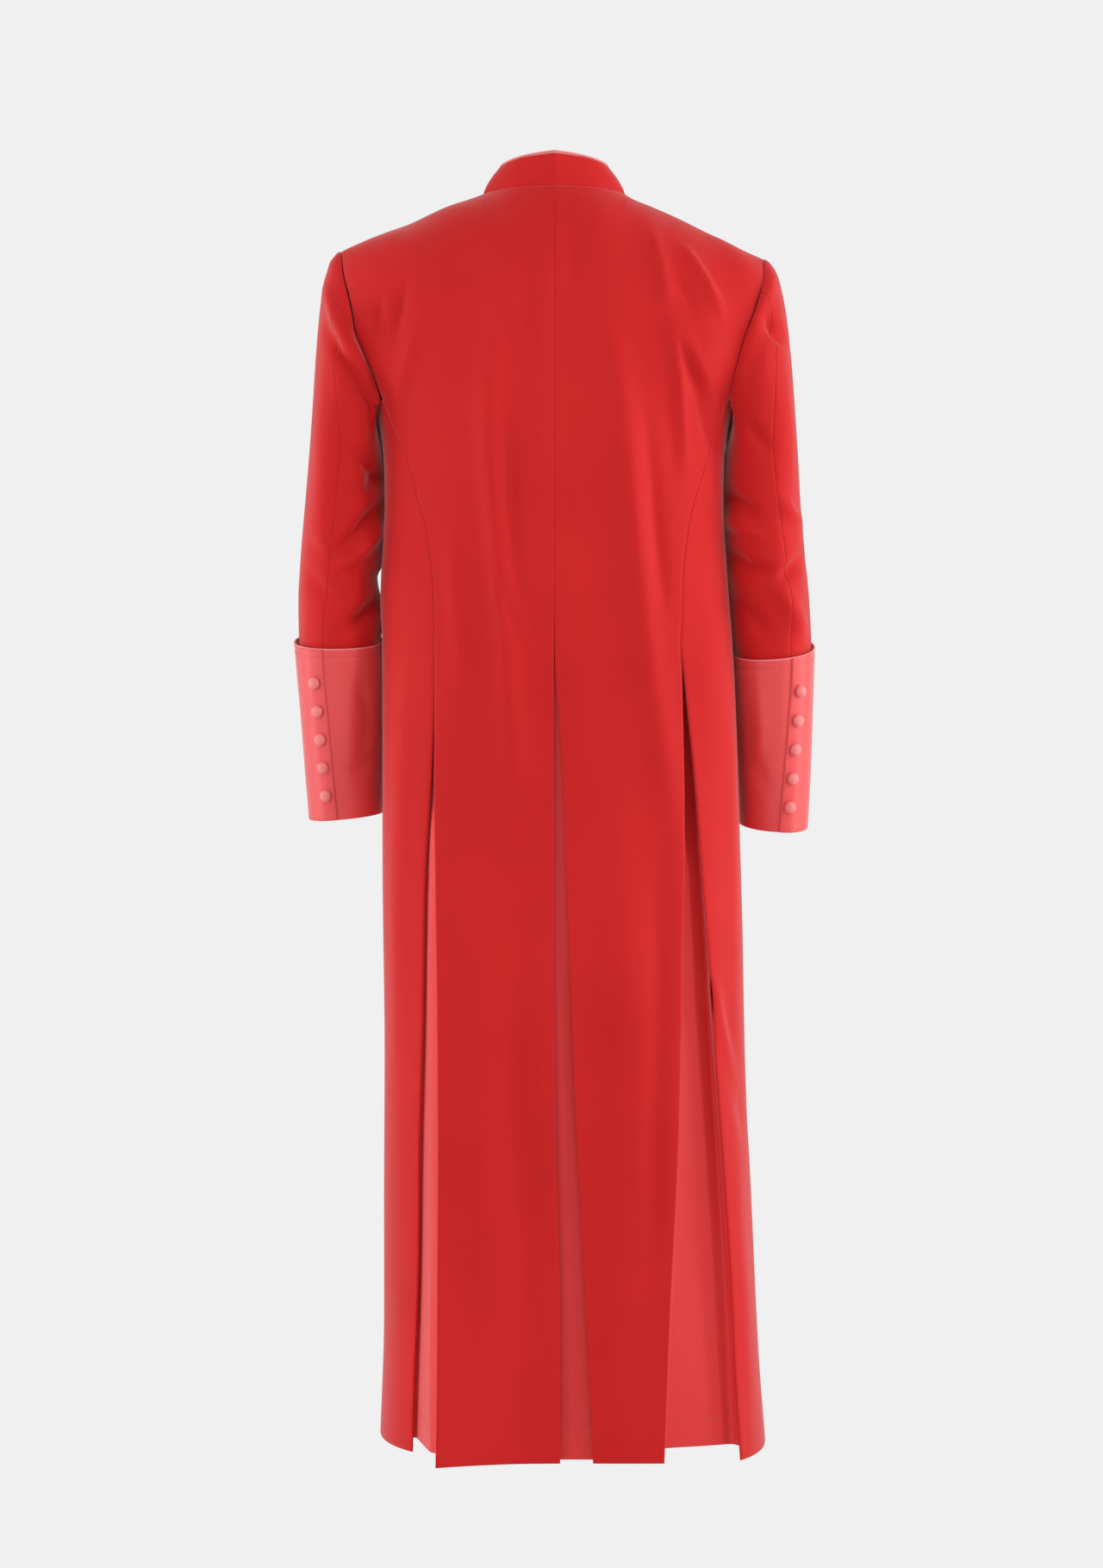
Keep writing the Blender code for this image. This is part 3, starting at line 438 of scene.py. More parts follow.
def cuff_size(side, share):
    """The same for a cuff."""
    return [cuff_at(size, side, share) for size in (CUFF_WIDE, CUFF_DEEP, CUFF_INNER)]


def hind_turn(side, down):
    """The turn of the hind arm seam, in degrees."""
    return float(curve(HIND[side], down))


def armhole_point(side, turn):
    """The armhole seam at a turn in degrees: 0 at the shoulder, 90 behind, 180 under the arm."""
    turn = turn % 360
    last = ARMHOLE_BACK[side][-1][0]
    first_turn = turn_at(side, last, curve(SIDE_EDGE[side], last))
    if turn <= UNDER_FROM:
        down = float(curve(ARMHOLE_AT[side], turn))
        x = float(curve(ARMHOLE_BACK[side], down))
        return np.array([x, float(body_y(1, side, x, down)), -down])
    if turn <= UNDER_TO:
        share = (turn - UNDER_FROM) / (UNDER_TO - UNDER_FROM)
        down = last + DIP * math.sin(math.pi * share) ** 2
        x, y = section(side, down, first_turn + (FRONT_SEAM_TURN - first_turn) * share)
        return np.array([float(x), float(y), -down])
    share = (360 - turn) / UNDER_FROM
    top = ARMHOLE_FRONT[side][0][0]
    down = top + (last - top) * share**1.3
    x = float(curve(ARMHOLE_FRONT[side], down))
    return np.array([x, float(body_y(-1, side, x, down)), -down])


def sleeve(side, turns_of):
    """Outer grid of a sleeve piece. turns_of gives its first and last turn, in degrees, at a height."""
    columns = np.linspace(0, 1, 41)
    rows = []
    for v in np.linspace(0, 1, 50):
        first, last = turns_of(CAP_END * v)
        row = []
        for turn in first + (last - first) * columns:
            angle = math.radians(turn)
            start = armhole_point(side, turn)
            end, below = (ring(side, d, np.array(angle), *arm_size(side, d)) for d in (CAP_END, CAP_LEAD))
            reach = np.linalg.norm(end - start)
            facing = math.cos(angle)
            rear = math.sin(angle)
            out = unit(np.array([0.8 * max(facing, -0.2) + 0.35, 0.35 * rear, -0.25 + 0.25 * facing]))
            start = start + 0.0003 * unit(np.array([1, 0.5 * rear, 0]))
            pull = start + out * reach * (0.2 - 0.07 * max(facing, 0))
            lead = end - unit(below - end) * reach * 0.40
            row.append((1 - v) ** 3 * start + 3 * v * (1 - v) ** 2 * pull + 3 * v**2 * (1 - v) * lead
                       + v**3 * end)
        rows.append(row)
    for down in np.linspace(SLEEVE_TOP, SLEEVE_END[side], 96):
        first, last = turns_of(down)
        turn = np.radians(first + (last - first) * columns)
        rows.append(ring(side, down, turn, *arm_size(side, down)))
    share = (SLEEVE_END[side] - CUFF[side][0]) / (CUFF[side][1] - CUFF[side][0])
    wide, deep, inner = cuff_size(side, share)
    close = SATIN + 0.0008
    shift = ring(side, SLEEVE_END[side], turn, wide - close, deep - close, inner) - rows[-1]
    eased = 12
    for i in range(eased):
        rows[-1 - i] = rows[-1 - i] + shift * (1 - i / eased) ** 2
    grid = np.array(rows)
    grid[..., 0] *= side
    return grid


def cuff_point(side, share, turn, lift=0.0):
    """A point of the cuff's outer face. share runs from its top edge (0) to its lower edge (1)."""
    wide, deep, inner = cuff_size(side, share)
    point = ring(side, cuff_at(CUFF, side, share), turn, wide + lift, deep + lift, inner)
    point[..., 0] *= side
    return point


def cuff(side):
    """Outer grid of a cuff, its outer end lapped over its inner end at the hind seam."""
    rows = []
    stitched = np.linspace(STITCHED_AT - 2 * GROOVE_HALF, STITCHED_AT + 2 * GROOVE_HALF, 11)
    for share in np.concatenate([[0.0, 0.012, 0.024], stitched, np.linspace(0.08, 1, 40)]):
        hind = hind_turn(side, cuff_at(CUFF, side, share))
        turn = np.linspace(hind - CUFF_LAP, hind + 360, 150)
        groove = GROOVE * math.exp(-((share - STITCHED_AT) / GROOVE_HALF) ** 2)
        lift = LAP_LIFT * np.clip((turn - hind - LIFT_FROM) / LIFT_RUN, 0, 1) - groove
        rows.append(cuff_point(side, share, np.radians(turn), lift))
    return np.array(rows)


COLLAR_TURN = 176.5
# The collar's height and its lean inward, from the centre back (0) to the centre front (1), and how it bows.
COLLAR_HEIGHT = [(0, 0.0375), (0.5, 0.030), (1, 0.031)]
COLLAR_LEAN = [(0, 0.002), (0.5, 0.0185), (1, 0.006)]
COLLAR_BOW = 0.0012


def neck_ring(turn):
    """The neck seam, turned in degrees from the centre back, and negative towards the left."""
    side = 1 if turn <= 0 else -1
    x = NECK_HALF * math.sin(math.radians(abs(turn)))
    face = 1 if abs(turn) <= 90 else -1
    down = float(neck_down(face, x))
    return np.array([side * x, float(body_y(face, side, x, down)), -down])


def collar_point(turn, share):
    """A point of the standing collar's outer face, from its seam (0) to its top edge (1)."""
    base = neck_ring(turn)
    around = abs(turn) / 180
    height, lean = curve(COLLAR_HEIGHT, around), curve(COLLAR_LEAN, around)
    inward = unit(np.array([0, -0.010, base[2]]) - base)
    inward *= lean * share**1.15 - COLLAR_BOW * math.sin(math.pi * share)
    return base + inward + np.array([0, 0, 0.0006 + 0.0016 * around + height * share])


def collar():
    """Outer grid of the standing collar, its lower edge tucked behind the neck seam."""
    turns = np.linspace(-COLLAR_TURN, COLLAR_TURN, 141)
    rows = [[collar_point(t, s) for t in turns] for s in np.linspace(1, 0, 14)]
    tucked = np.array(rows[-1]) * [0.985, 0.985, 1] - [0, 0, 0.004]
    return np.array(rows + [tucked])


Fold = namedtuple("Fold", "path width height")


def in_metres(rows):
    """Folds from rows of millimetres: the path as (x, down), the half width and the height."""
    return [Fold(np.array(path) / 1000, width / 1000, height / 1000) for path, width, height in rows]


# Folds and hollows of the body as seen from behind, of the sleeves and of the cuffs.
BODY_FOLDS = in_metres([
    ([(68, 160), (74, 263), (70, 341), (63, 429), (54, 536), (46, 660)], 15, 10.2),
    ([(54, 270), (50, 370), (40, 470)], 8, -5),
    ([(62, 440), (54, 475), (42, 515)], 6, -3.6),
    ([(16, 75), (14, 140), (13, 205)], 4, 3),
    ([(-18, 50), (-20, 90), (-22, 130)], 5, -2),
    ([(52, 105), (45, 150), (40, 190)], 7, 2.8),
    ([(-66, 185), (-75, 234), (-83, 320), (-94, 419), (-110, 562), (-128, 690)], 17, 10),
    ([(-104, 260), (-112, 360), (-124, 480)], 9, -5),
    ([(-149, 70), (-168, 105), (-192, 150)], 6, 7.5),
    ([(-114, 56), (-121, 95), (-128, 140)], 6, 6),
    ([(-137, 95), (-150, 125), (-160, 150)], 6, -4.5),
    ([(-133, 160), (-141, 215), (-149, 320)], 6, 7.5),
    ([(-143, 165), (-155, 190), (-170, 222)], 6, 5.5),
    ([(-150, 190), (-166, 240), (-182, 300)], 8, -8.5),
    ([(199, 130), (203, 150), (198, 172)], 7, -7),
    ([(170, 112), (176, 140), (184, 178)], 7, -6.4),
    ([(150, 150), (166, 200), (182, 245)], 9, 5),
    ([(116, 400), (112, 470), (104, 560)], 10, 4),
    ([(-8, 100), (-6, 200), (-5, 320)], 16, -1.8),
    ([(92, 700), (88, 950), (80, 1380)], 24, 4),
    ([(44, 800), (38, 1050), (32, 1400)], 18, -5),
    ([(-82, 740), (-84, 1000), (-78, 1400)], 22, 3),
    ([(-120, 740), (-118, 950), (-108, 1200)], 12, -4),
    ([(-176, 900), (-190, 955), (-214, 1040)], 8, 6),
    ([(-190, 930), (-204, 995), (-222, 1090)], 9, -5.4),
    ([(172, 550), (176, 750), (178, 1000)], 10, 3.6),
])
SLEEVE_FOLDS = in_metres([
    ([(264, 105), (240, 172), (206, 232)], 8, 9.5),
    ([(258, 165), (230, 213), (203, 256)], 8, -9.5),
    ([(250, 417), (225, 394), (198, 358)], 7, -11.5),
    ([(246, 433), (222, 416), (197, 384)], 6, 8.5),
    ([(214, 345), (198, 322)], 7, -8),
    ([(238, 502), (216, 487), (200, 466)], 8, -11),
    ([(236, 300), (220, 312), (200, 330)], 8, -6),
    ([(270, 395), (256, 412), (242, 424)], 9, 7),
    ([(284, 440), (270, 458), (252, 470)], 9, -6),
    ([(262, 250), (264, 330), (268, 400)], 11, 4.5),
    ([(225, 250), (222, 290), (228, 330)], 10, 5),
    ([(-252, 95), (-236, 140), (-217, 198), (-203, 245)], 8, 8),
    ([(-240, 148), (-253, 166), (-266, 178)], 7, -10),
    ([(-198, 348), (-214, 359), (-232, 374)], 7, -10),
    ([(-198, 374), (-216, 388), (-238, 398)], 6, 7),
    ([(-200, 414), (-222, 434), (-254, 440)], 8, -9.5),
    ([(-222, 270), (-232, 286), (-246, 300)], 7, -6.5),
    ([(-262, 356), (-272, 372), (-286, 380)], 8, 7),
    ([(-290, 418), (-276, 433), (-258, 448)], 7, -9),
    ([(-256, 450), (-272, 478), (-288, 512)], 11, 8),
    ([(-212, 470), (-230, 490), (-246, 512)], 9, -7),
    ([(-262, 230), (-270, 290), (-272, 350)], 12, 4),
])
CUFF_FOLDS = in_metres([
    ([(222, 568), (212, 610), (222, 650)], 8, -3.8),
    ([(206, 645), (220, 662), (236, 666)], 6, -3.6),
    ([(240, 550), (236, 620), (238, 690)], 10, 2.8),
    ([(-236, 560), (-240, 620), (-232, 665)], 8, 3.4),
    ([(-222, 600), (-228, 650), (-248, 690)], 9, -3.8),
])


def near_path(u, v, path):
    """Distance from a path on a flat sheet, and how far along it, 0 to 1, each point of (u, v) is."""
    start = run_along(path)
    steps = np.diff(start)
    best = np.full(np.shape(u), np.inf)
    along = np.zeros(np.shape(u))
    for i, step in enumerate(steps):
        a, b = path[i], path[i + 1]
        t = np.clip(((u - a[0]) * (b[0] - a[0]) + (v - a[1]) * (b[1] - a[1])) / step**2, 0, 1)
        gap = np.hypot(u - a[0] - t * (b[0] - a[0]), v - a[1] - t * (b[1] - a[1]))
        nearer = gap < best
        best = np.where(nearer, gap, best)
        along = np.where(nearer, (start[i] + t * step) / start[-1], along)
    return best, along


def folded(u, v, folds):
    """How far the folds lift the cloth at each (u, v)."""
    lift = np.zeros(np.shape(u))
    for fold in folds:
        gap, along = near_path(u, v, fold.path)
        faded = np.sin(math.pi * (0.04 + 0.92 * along)) ** 0.6
        lift += fold.height * np.exp(-((gap / fold.width) ** 2)) * faded
    return lift


# Slight waves of hanging cloth: radians a metre across and down, phase, and share of the height.
RIPPLE = 0.0007
RIPPLES = [(61, 7, 0, 1), (97, -11, 1.3, 0.6), (43, 19, 2.1, 0.8), (31, 23, 0.4, 0.5)]


def rippled(u, v):
    """The height of the waves at each (u, v)."""
    return RIPPLE * sum(share * np.sin(a * u + b * v + phase) for a, b, phase, share in RIPPLES)


def free_below_neck(face, grid):
    """How free the cloth hangs: held at the neck seam and free 44 mm from it."""
    x, down = np.abs(grid[..., 0]), -grid[..., 2]
    below = down - neck_down(face, np.minimum(x, NECK_HALF))
    gap = np.hypot(np.maximum(x - NECK_HALF, 0), np.maximum(below, 0))
    return np.clip((gap - 0.004) / 0.04, 0, 1)


def draped(grid, normal, folds, free):
    """Lifts a piece by its folds, where it faces back, and by its waves, as far as it hangs free."""
    x, down = grid[..., 0], -grid[..., 2]
    behind = np.clip(normal[..., 1] / 0.3, 0, 1)
    waves = np.clip(np.abs(normal[..., 1]) / 0.5, 0.2, 1)
    lift = free * (behind * folded(x, down, folds) + waves * rippled(x + 0.8 * grid[..., 1], down))
    return grid + normal * lift[..., None]


def bordered(grid, normal, inset):
    """Adds a row or a column close to each edge, so that the edge itself can turn in tightly."""
    for axis in (0, 1):
        for end in (0, -1):
            edge, inner = np.take(grid, end, axis), np.take(grid, 1 if end == 0 else -2, axis)
            away = inner - edge
            share = np.minimum(inset / np.linalg.norm(away, axis=-1, keepdims=True), 0.6)
            between = edge + away * share
            lean = np.take(normal, end, axis)
            place = 1 if end == 0 else grid.shape[axis] - 1
            grid = np.insert(grid, place, between, axis)
            normal = np.insert(normal, place, lean, axis)
    return grid, normal


def turned_in(grid, normal, drops):
    """Sinks the four edges by their drops: first row, last row, first and last column."""
    done = grid.copy()
    for i, drop in zip((0, -1), drops[:2]):
        done[i] -= normal[i] * drop
    for j, drop in zip((0, -1), drops[2:]):
        done[:, j] -= normal[:, j] * drop
    return done


def placed(name, data):
    """A new object in the scene."""
    obj = bpy.data.objects.new(name, data)
    bpy.context.scene.collection.objects.link(obj)
    return obj


def mesh_piece(name, points, faces, material, uvs=None):
    """A smooth-shaded mesh object with one material, and its cloth lengths in metres as UVs."""
    mesh = bpy.data.meshes.new(name)
    mesh.from_pydata(np.asarray(points, float).tolist(), [], faces)
    mesh.materials.append(material)
    mesh.polygons.foreach_set("use_smooth", [True] * len(mesh.polygons))
    if uvs is not None:
        layer = mesh.uv_layers.new(name="cloth")
        corner = np.empty(len(mesh.loops), np.int32)
        mesh.loops.foreach_get("vertex_index", corner)
        layer.data.foreach_set("uv", np.asarray(uvs, float)[corner].reshape(-1))
    obj = placed(name, mesh)
    face_out(obj)
    return obj


TURN_IN = 0.0010


def cloth_piece(name, grid, normal, thickness, drops, material):
    """A cloth wall: the grid is its outer face, the thickness lies behind it and its edges turn in."""
    grid, normal = bordered(grid, normal, TURN_IN)
    rows, columns = grid.shape[:2]
    across = np.zeros((rows, columns))
    across[:, 1:] = np.cumsum(np.linalg.norm(np.diff(grid, axis=1), axis=-1), axis=1)
    along = np.zeros((rows, columns))
    along[1:] = np.cumsum(np.linalg.norm(np.diff(grid, axis=0), axis=-1), axis=0)
    uv = np.stack([across, along], axis=-1).reshape(-1, 2)
    outer = turned_in(grid, normal, drops)
    inner = grid - thickness * normal
    back = rows * columns
    index = np.arange(back).reshape(rows, columns)
    a, b, c, d = index[:-1, :-1], index[1:, :-1], index[1:, 1:], index[:-1, 1:]
    outside = np.stack([a, b, c, d], axis=-1).reshape(-1, 4)
    hidden = np.stack([d, c, b, a], axis=-1).reshape(-1, 4) + back
    rim = np.concatenate([index[0, :-1], index[:-1, -1], index[-1, :0:-1], index[:0:-1, 0]])
    after = np.roll(rim, -1)
    wall = np.stack([rim, after, after + back, rim + back], axis=-1)
    faces = np.concatenate([outside, hidden, wall])
    points = np.concatenate([outer.reshape(-1, 3), inner.reshape(-1, 3)])
    obj = mesh_piece(name, points, faces.tolist(), material, np.concatenate([uv, uv]))
    width, length = across[:, -1].max(), along[-1].max()
    corners = outer[1:, 1:] - outer[:-1, :-1], outer[1:, :-1] - outer[:-1, 1:]
    return obj, (width, length), 0.5 * np.linalg.norm(np.cross(*corners), axis=-1).sum()


def face_out(obj):
    """Turns the faces of a closed mesh outward."""
    mesh = bmesh.new()
    mesh.from_mesh(obj.data)
    bmesh.ops.recalc_face_normals(mesh, faces=mesh.faces)
    if mesh.calc_volume(signed=True) < 0:
        bmesh.ops.reverse_faces(mesh, faces=mesh.faces)
    mesh.to_mesh(obj.data)
    mesh.free()


def linear(hex_colour):
    """An sRGB hex value as linear red, green, blue and alpha."""
    parts = [int(hex_colour[i:i + 2], 16) / 255 for i in (1, 3, 5)]
    return [p / 12.92 if p <= 0.04045 else ((p + 0.055) / 1.055) ** 2.4 for p in parts] + [1.0]


def node(tree, kind, settings=None, links=None):
    """Adds a node, sets its properties or input values, and links its inputs from other nodes' outputs."""
    made = tree.nodes.new(kind)
    for key, value in (settings or {}).items():
        if isinstance(key, str) and hasattr(made, key):
            setattr(made, key, value)
        else:
            made.inputs[key].default_value = value
    for key, (source, output) in (links or {}).items():
        tree.links.new(source.outputs[output], made.inputs[key])
    return made


def cloth_material(name, shade, light, roughness, specular, sheen, thread_mm, slant, bump):
    """Woven cloth: slow colour drift, and a raised weave whose lines are thread_mm apart."""
    material = bpy.data.materials.new(name)
    material.use_nodes = True
    tree = material.node_tree
    tree.nodes.clear()
    place = node(tree, "ShaderNodeTexCoord")
    drift = node(tree, "ShaderNodeTexNoise", {"Scale": 5.0, "Detail": 3.0}, {"Vector": (place, "Object")})
    ramp = node(tree, "ShaderNodeValToRGB", links={"Fac": (drift, "Fac")})
    ramp.color_ramp.elements[0].color = linear(shade)
    ramp.color_ramp.elements[1].color = linear(light)
    ramp.color_ramp.elements[0].position = 0.3
    ramp.color_ramp.elements[1].position = 0.7
    turned = node(tree, "ShaderNodeMapping", {"Rotation": (0, 0, slant)}, {"Vector": (place, "UV")})
    lines = node(tree, "ShaderNodeTexWave",
                 {"Scale": math.pi / 10 / (thread_mm / 1000), "Distortion": 0.6, "Detail": 1.0},
                 {"Vector": (turned, "Vector")})
    fuzz = node(tree, "ShaderNodeTexNoise", {"Scale": 700.0, "Detail": 2.0}, {"Vector": (place, "UV")})
    mixed = node(tree, "ShaderNodeMath", {"operation": "ADD"}, {0: (lines, "Fac"), 1: (fuzz, "Fac")})
    raised = node(tree, "ShaderNodeBump", {"Strength": bump, "Distance": 0.0004},
                  {"Height": (mixed, "Value")})
    surface = node(tree, "ShaderNodeBsdfPrincipled",
                   {"Roughness": roughness, "Specular IOR Level": specular, "Sheen Weight": sheen,
                    "Sheen Roughness": 0.32, "Sheen Tint": (1.0, 0.66, 0.66, 1.0)},
                   {"Base Color": (ramp, "Color"), "Normal": (raised, "Normal")})
    node(tree, "ShaderNodeOutputMaterial", links={"Surface": (surface, "BSDF")})
    return material


# Wool-blend gabardine: a smooth matt cloth whose fine steep twill only softens the light.
WOOL_CLOTH = cloth_material("wool_blend_gabardine", "#C11C1D", "#C82021", 0.62, 0.11, 0.50, 0.8, 1.05, 0.25)
# Duchess satin: a dense smooth weave of filament threads, brighter than the wool and softly glossy.
SATIN_CLOTH = cloth_material("duchess_satin", "#D63132", "#DB3636", 0.52, 0.25, 0.40, 0.5, 1.57, 0.12)
# The same satin fused and pressed flat in the cuffs, where it is glossiest. Its base colour is lighter than
# the satin's: a painted highlight that lightens the whole cuff.
CUFF_CLOTH = cloth_material("duchess_satin_pressed", "#D84243", "#DE494A", 0.48, 0.42, 0.90, 0.5, 1.57, 0.10)
# The same satin drawn tight over a cord or a button mould. Its base colour is painted paler than the
# satin's, as a painted highlight on the piping, bindings and buttons.
BINDING_CLOTH = cloth_material("satin_binding", "#E27472", "#E67C7A", 0.42, 0.45, 0.40, 0.4, 0.78, 0.10)
# Polyester sewing thread: a slightly glossy line that shows where a layer is held.
THREAD = cloth_material("polyester_thread", "#D05350", "#D85A57", 0.35, 0.5, 0.0, 0.3, 0.8, 0.2)


def lathe(name, at, axis, first, profile, sides, material):
    """A closed turned piece: profile gives radius and height from its base to its tip."""
    second = np.cross(axis, first)
    turn = np.linspace(0, 2 * math.pi, sides, endpoint=False)
    round_it = np.cos(turn)[:, None] * first + np.sin(turn)[:, None] * second
    rings = [at + axis * height + radius * round_it for radius, height in profile]
    points = np.concatenate(rings + [[at + axis * profile[0][1]], [at + axis * profile[-1][1]]])
    base, tip = len(points) - 2, len(points) - 1
    last = (len(profile) - 1) * sides
    faces = []
    for k in range(sides):
        after = (k + 1) % sides
        for i in range(0, last, sides):
            faces.append((i + k, i + after, i + after + sides, i + k + sides))
        faces.append((base, after, k))
        faces.append((tip, last + k, last + after))
    flat = (points - at) @ np.stack([first, second]).T
    return mesh_piece(name, points, faces, material, flat)


# Radius and height of a button, from the base under its rim to the top of its dome.
BUTTON = [(0.0040, 0.0), (0.0060, 0.0002), (0.0068, 0.0009), (0.0070, 0.0019), (0.0069, 0.0029),
          (0.0065, 0.0039), (0.0057, 0.0049), (0.0045, 0.0058), (0.0030, 0.0064), (0.0013, 0.0067)]


def button(name, side, share):
    """A cloth-covered domed button on the lapped end of a cuff."""
    turn = math.radians(hind_turn(side, cuff_at(CUFF, side, share)) - BUTTON_TURN)
    at = cuff_point(side, share, np.array(turn), LAP_LIFT)
    along = cuff_point(side, share + 0.02, np.array(turn), LAP_LIFT) - at
    around = cuff_point(side, share, np.array(turn + 0.03), LAP_LIFT) - at
    axis = unit(np.cross(around, along))
    centre = cuff_point(side, 0.5, np.radians(np.arange(0, 360, 30.0))).mean(axis=0)
    if np.dot(axis, at - centre) < 0:
        axis = -axis
    return lathe(name, at + axis * 0.0003, axis, unit(along), BUTTON, 36, BINDING_CLOTH)


def roll(name, middles, ups, radius, material, closed):
    """A thin round roll along a path of points, each with the direction that the roll's seam faces."""
    sides, count = 12, len(middles)
    ahead = np.roll(middles, -1, axis=0) - np.roll(middles, 1, axis=0)
    if not closed:
        ahead[0], ahead[-1] = middles[1] - middles[0], middles[-1] - middles[-2]
    out = unit(np.cross(ahead, ups))
    angle = np.linspace(0, 2 * math.pi, sides, endpoint=False)
    lean = np.cos(angle)[None, :, None] * ups[:, None] + np.sin(angle)[None, :, None] * out[:, None]
    points = (middles[:, None] + radius * lean).reshape(-1, 3)
    uv = np.column_stack([np.repeat(run_along(middles), sides), np.tile(angle * radius, count)])
    faces = []
    for i in range(count if closed else count - 1):
        for k in range(sides):
            a, b = i * sides + k, i * sides + (k + 1) % sides
            c, d = (b + sides) % (count * sides), (a + sides) % (count * sides)
            faces.append((a, d, c, b))
    if not closed:
        faces.append(tuple(range(sides)))
        faces.append(tuple(range(count * sides - 1, (count - 1) * sides - 1, -1)))
    return mesh_piece(name, points, faces, material, uv)


def collar_piping(name):
    """The satin roll along the collar's top edge."""
    radius, clear, sunk, middles, ups = 0.0014, 0.0004, 0.0008, [], []
    for turn in np.linspace(-COLLAR_TURN, COLLAR_TURN, 201):
        top, under = collar_point(turn, 1.0), collar_point(turn, 0.8)
        up = unit(top - under)
        middles.append(top + up * (radius + clear) - unit(np.array([top[0], top[1] + 0.01, 0])) * sunk)
        ups.append(up)
    return roll(name, np.array(middles), np.array(ups), radius, BINDING_CLOTH, False)


def cuff_binding(name, side):
    """The narrow roll that binds a cuff's top edge."""
    radius, sunk = 0.0011, 0.0006
    hind = hind_turn(side, CUFF[side][0])
    turns = np.radians(np.linspace(hind, hind + 360, 160, endpoint=False))
    edge, below = cuff_point(side, 0.0, turns), cuff_point(side, 0.02, turns)
    inward = unit(edge.mean(axis=0) - edge)
    return roll(name, edge + inward * sunk, unit(edge - below), radius, BINDING_CLOTH, True)


def stitch_group():
    """Geometry Nodes: rounded stitches lying along a curve, one at each step."""
    tree = bpy.data.node_groups.new("stitch_line", "GeometryNodeTree")
    tree.interface.new_socket(name="Geometry", in_out="INPUT", socket_type="NodeSocketGeometry")
    kinds = {"Step": "Float", "Length": "Float", "Thread": "Float", "Seed": "Int", "Material": "Material"}
    for label, kind in kinds.items():
        tree.interface.new_socket(name=label, in_out="INPUT", socket_type="NodeSocket" + kind)
    tree.interface.new_socket(name="Geometry", in_out="OUTPUT", socket_type="NodeSocketGeometry")
    given = node(tree, "NodeGroupInput")
    places = node(tree, "GeometryNodeResampleCurve", {"mode": "LENGTH"},
                  {"Curve": (given, "Geometry"), "Length": (given, "Step")})
    tangent = node(tree, "GeometryNodeInputTangent")
    turned = node(tree, "FunctionNodeAlignRotationToVector", {"axis": "Z"}, {"Vector": (tangent, "Tangent")})
    uneven = node(tree, "FunctionNodeRandomValue", {"data_type": "FLOAT", 2: 0.86, 3: 1.08},
                  {"Seed": (given, "Seed")})
    shape = node(tree, "ShaderNodeCombineXYZ", {}, {"X": (given, "Thread"), "Y": (given, "Thread")})
    half = node(tree, "ShaderNodeMath", {"operation": "MULTIPLY", 1: 0.5}, {0: (given, "Length")})
    tree.links.new(half.outputs["Value"], shape.inputs["Z"])
    bead = node(tree, "GeometryNodeMeshUVSphere", {"Segments": 8, "Rings": 6, "Radius": 1.0})
    sized = node(tree, "ShaderNodeVectorMath", {"operation": "SCALE"},
                 {0: (shape, "Vector"), "Scale": (uneven, "Value")})
    laid = node(tree, "GeometryNodeInstanceOnPoints",
                links={"Points": (places, "Curve"), "Instance": (bead, "Mesh"),
                       "Rotation": (turned, "Rotation"), "Scale": (sized, "Vector")})
    real = node(tree, "GeometryNodeRealizeInstances", links={"Geometry": (laid, "Instances")})
    finished = node(tree, "GeometryNodeSetMaterial",
                    links={"Geometry": (real, "Geometry"), "Material": (given, "Material")})
    node(tree, "NodeGroupOutput", links={"Geometry": (finished, "Geometry")})
    return tree


STITCHES = stitch_group()
# Metres from stitch to stitch, length of a stitch and half the thread's width.
HEM_STITCH = (0.0036, 0.0028, 0.0003)
CUFF_STITCH = (0.0044, 0.0032, 0.0005)


def stitch_line(name, path, step, length, thread):
    """A row of stitches along a path of points, as a plain mesh."""
    line = bpy.data.curves.new(name + "_path", "CURVE")
    line.dimensions = "3D"
    spline = line.splines.new("POLY")
    spline.points.add(len(path) - 1)
    spline.points.foreach_set("co", np.column_stack([path, np.ones(len(path))]).reshape(-1))
    guide = placed(name + "_path", line)
    modifier = guide.modifiers.new("stitches", "NODES")
    modifier.node_group = STITCHES
    values = {"Step": step, "Length": length, "Thread": thread, "Seed": 11, "Material": THREAD}
    for item in STITCHES.interface.items_tree:
        if item.in_out == "INPUT" and item.name in values:
            modifier[item.identifier] = values[item.name]
    ready = guide.evaluated_get(bpy.context.evaluated_depsgraph_get())
    mesh = bpy.data.meshes.new_from_object(ready)
    guide.modifiers.clear()
    bpy.data.objects.remove(guide)
    mesh.polygons.foreach_set("use_smooth", [True] * len(mesh.polygons))
    return placed(name, mesh)


def belongs(obj, slot, *nodes):
    """Ties a finished piece to the garment's one body and hides the nodes that it stands for. slot, its
    finish, is not used.
    """
    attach(obj, "root")
    if nodes:
        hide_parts(*nodes)


class Cut:
    """One cloth piece before it is made: its grid, its normals and its finish."""

    def __init__(self, name, grid, outward, thickness, drops, slot, folds, free=1.0):
        self.name, self.grid, self.thickness, self.drops, self.slot = name, grid, thickness, drops, slot
        self.folds, self.free = folds, free
        self.normal = normals_of(grid, np.array(outward, float))


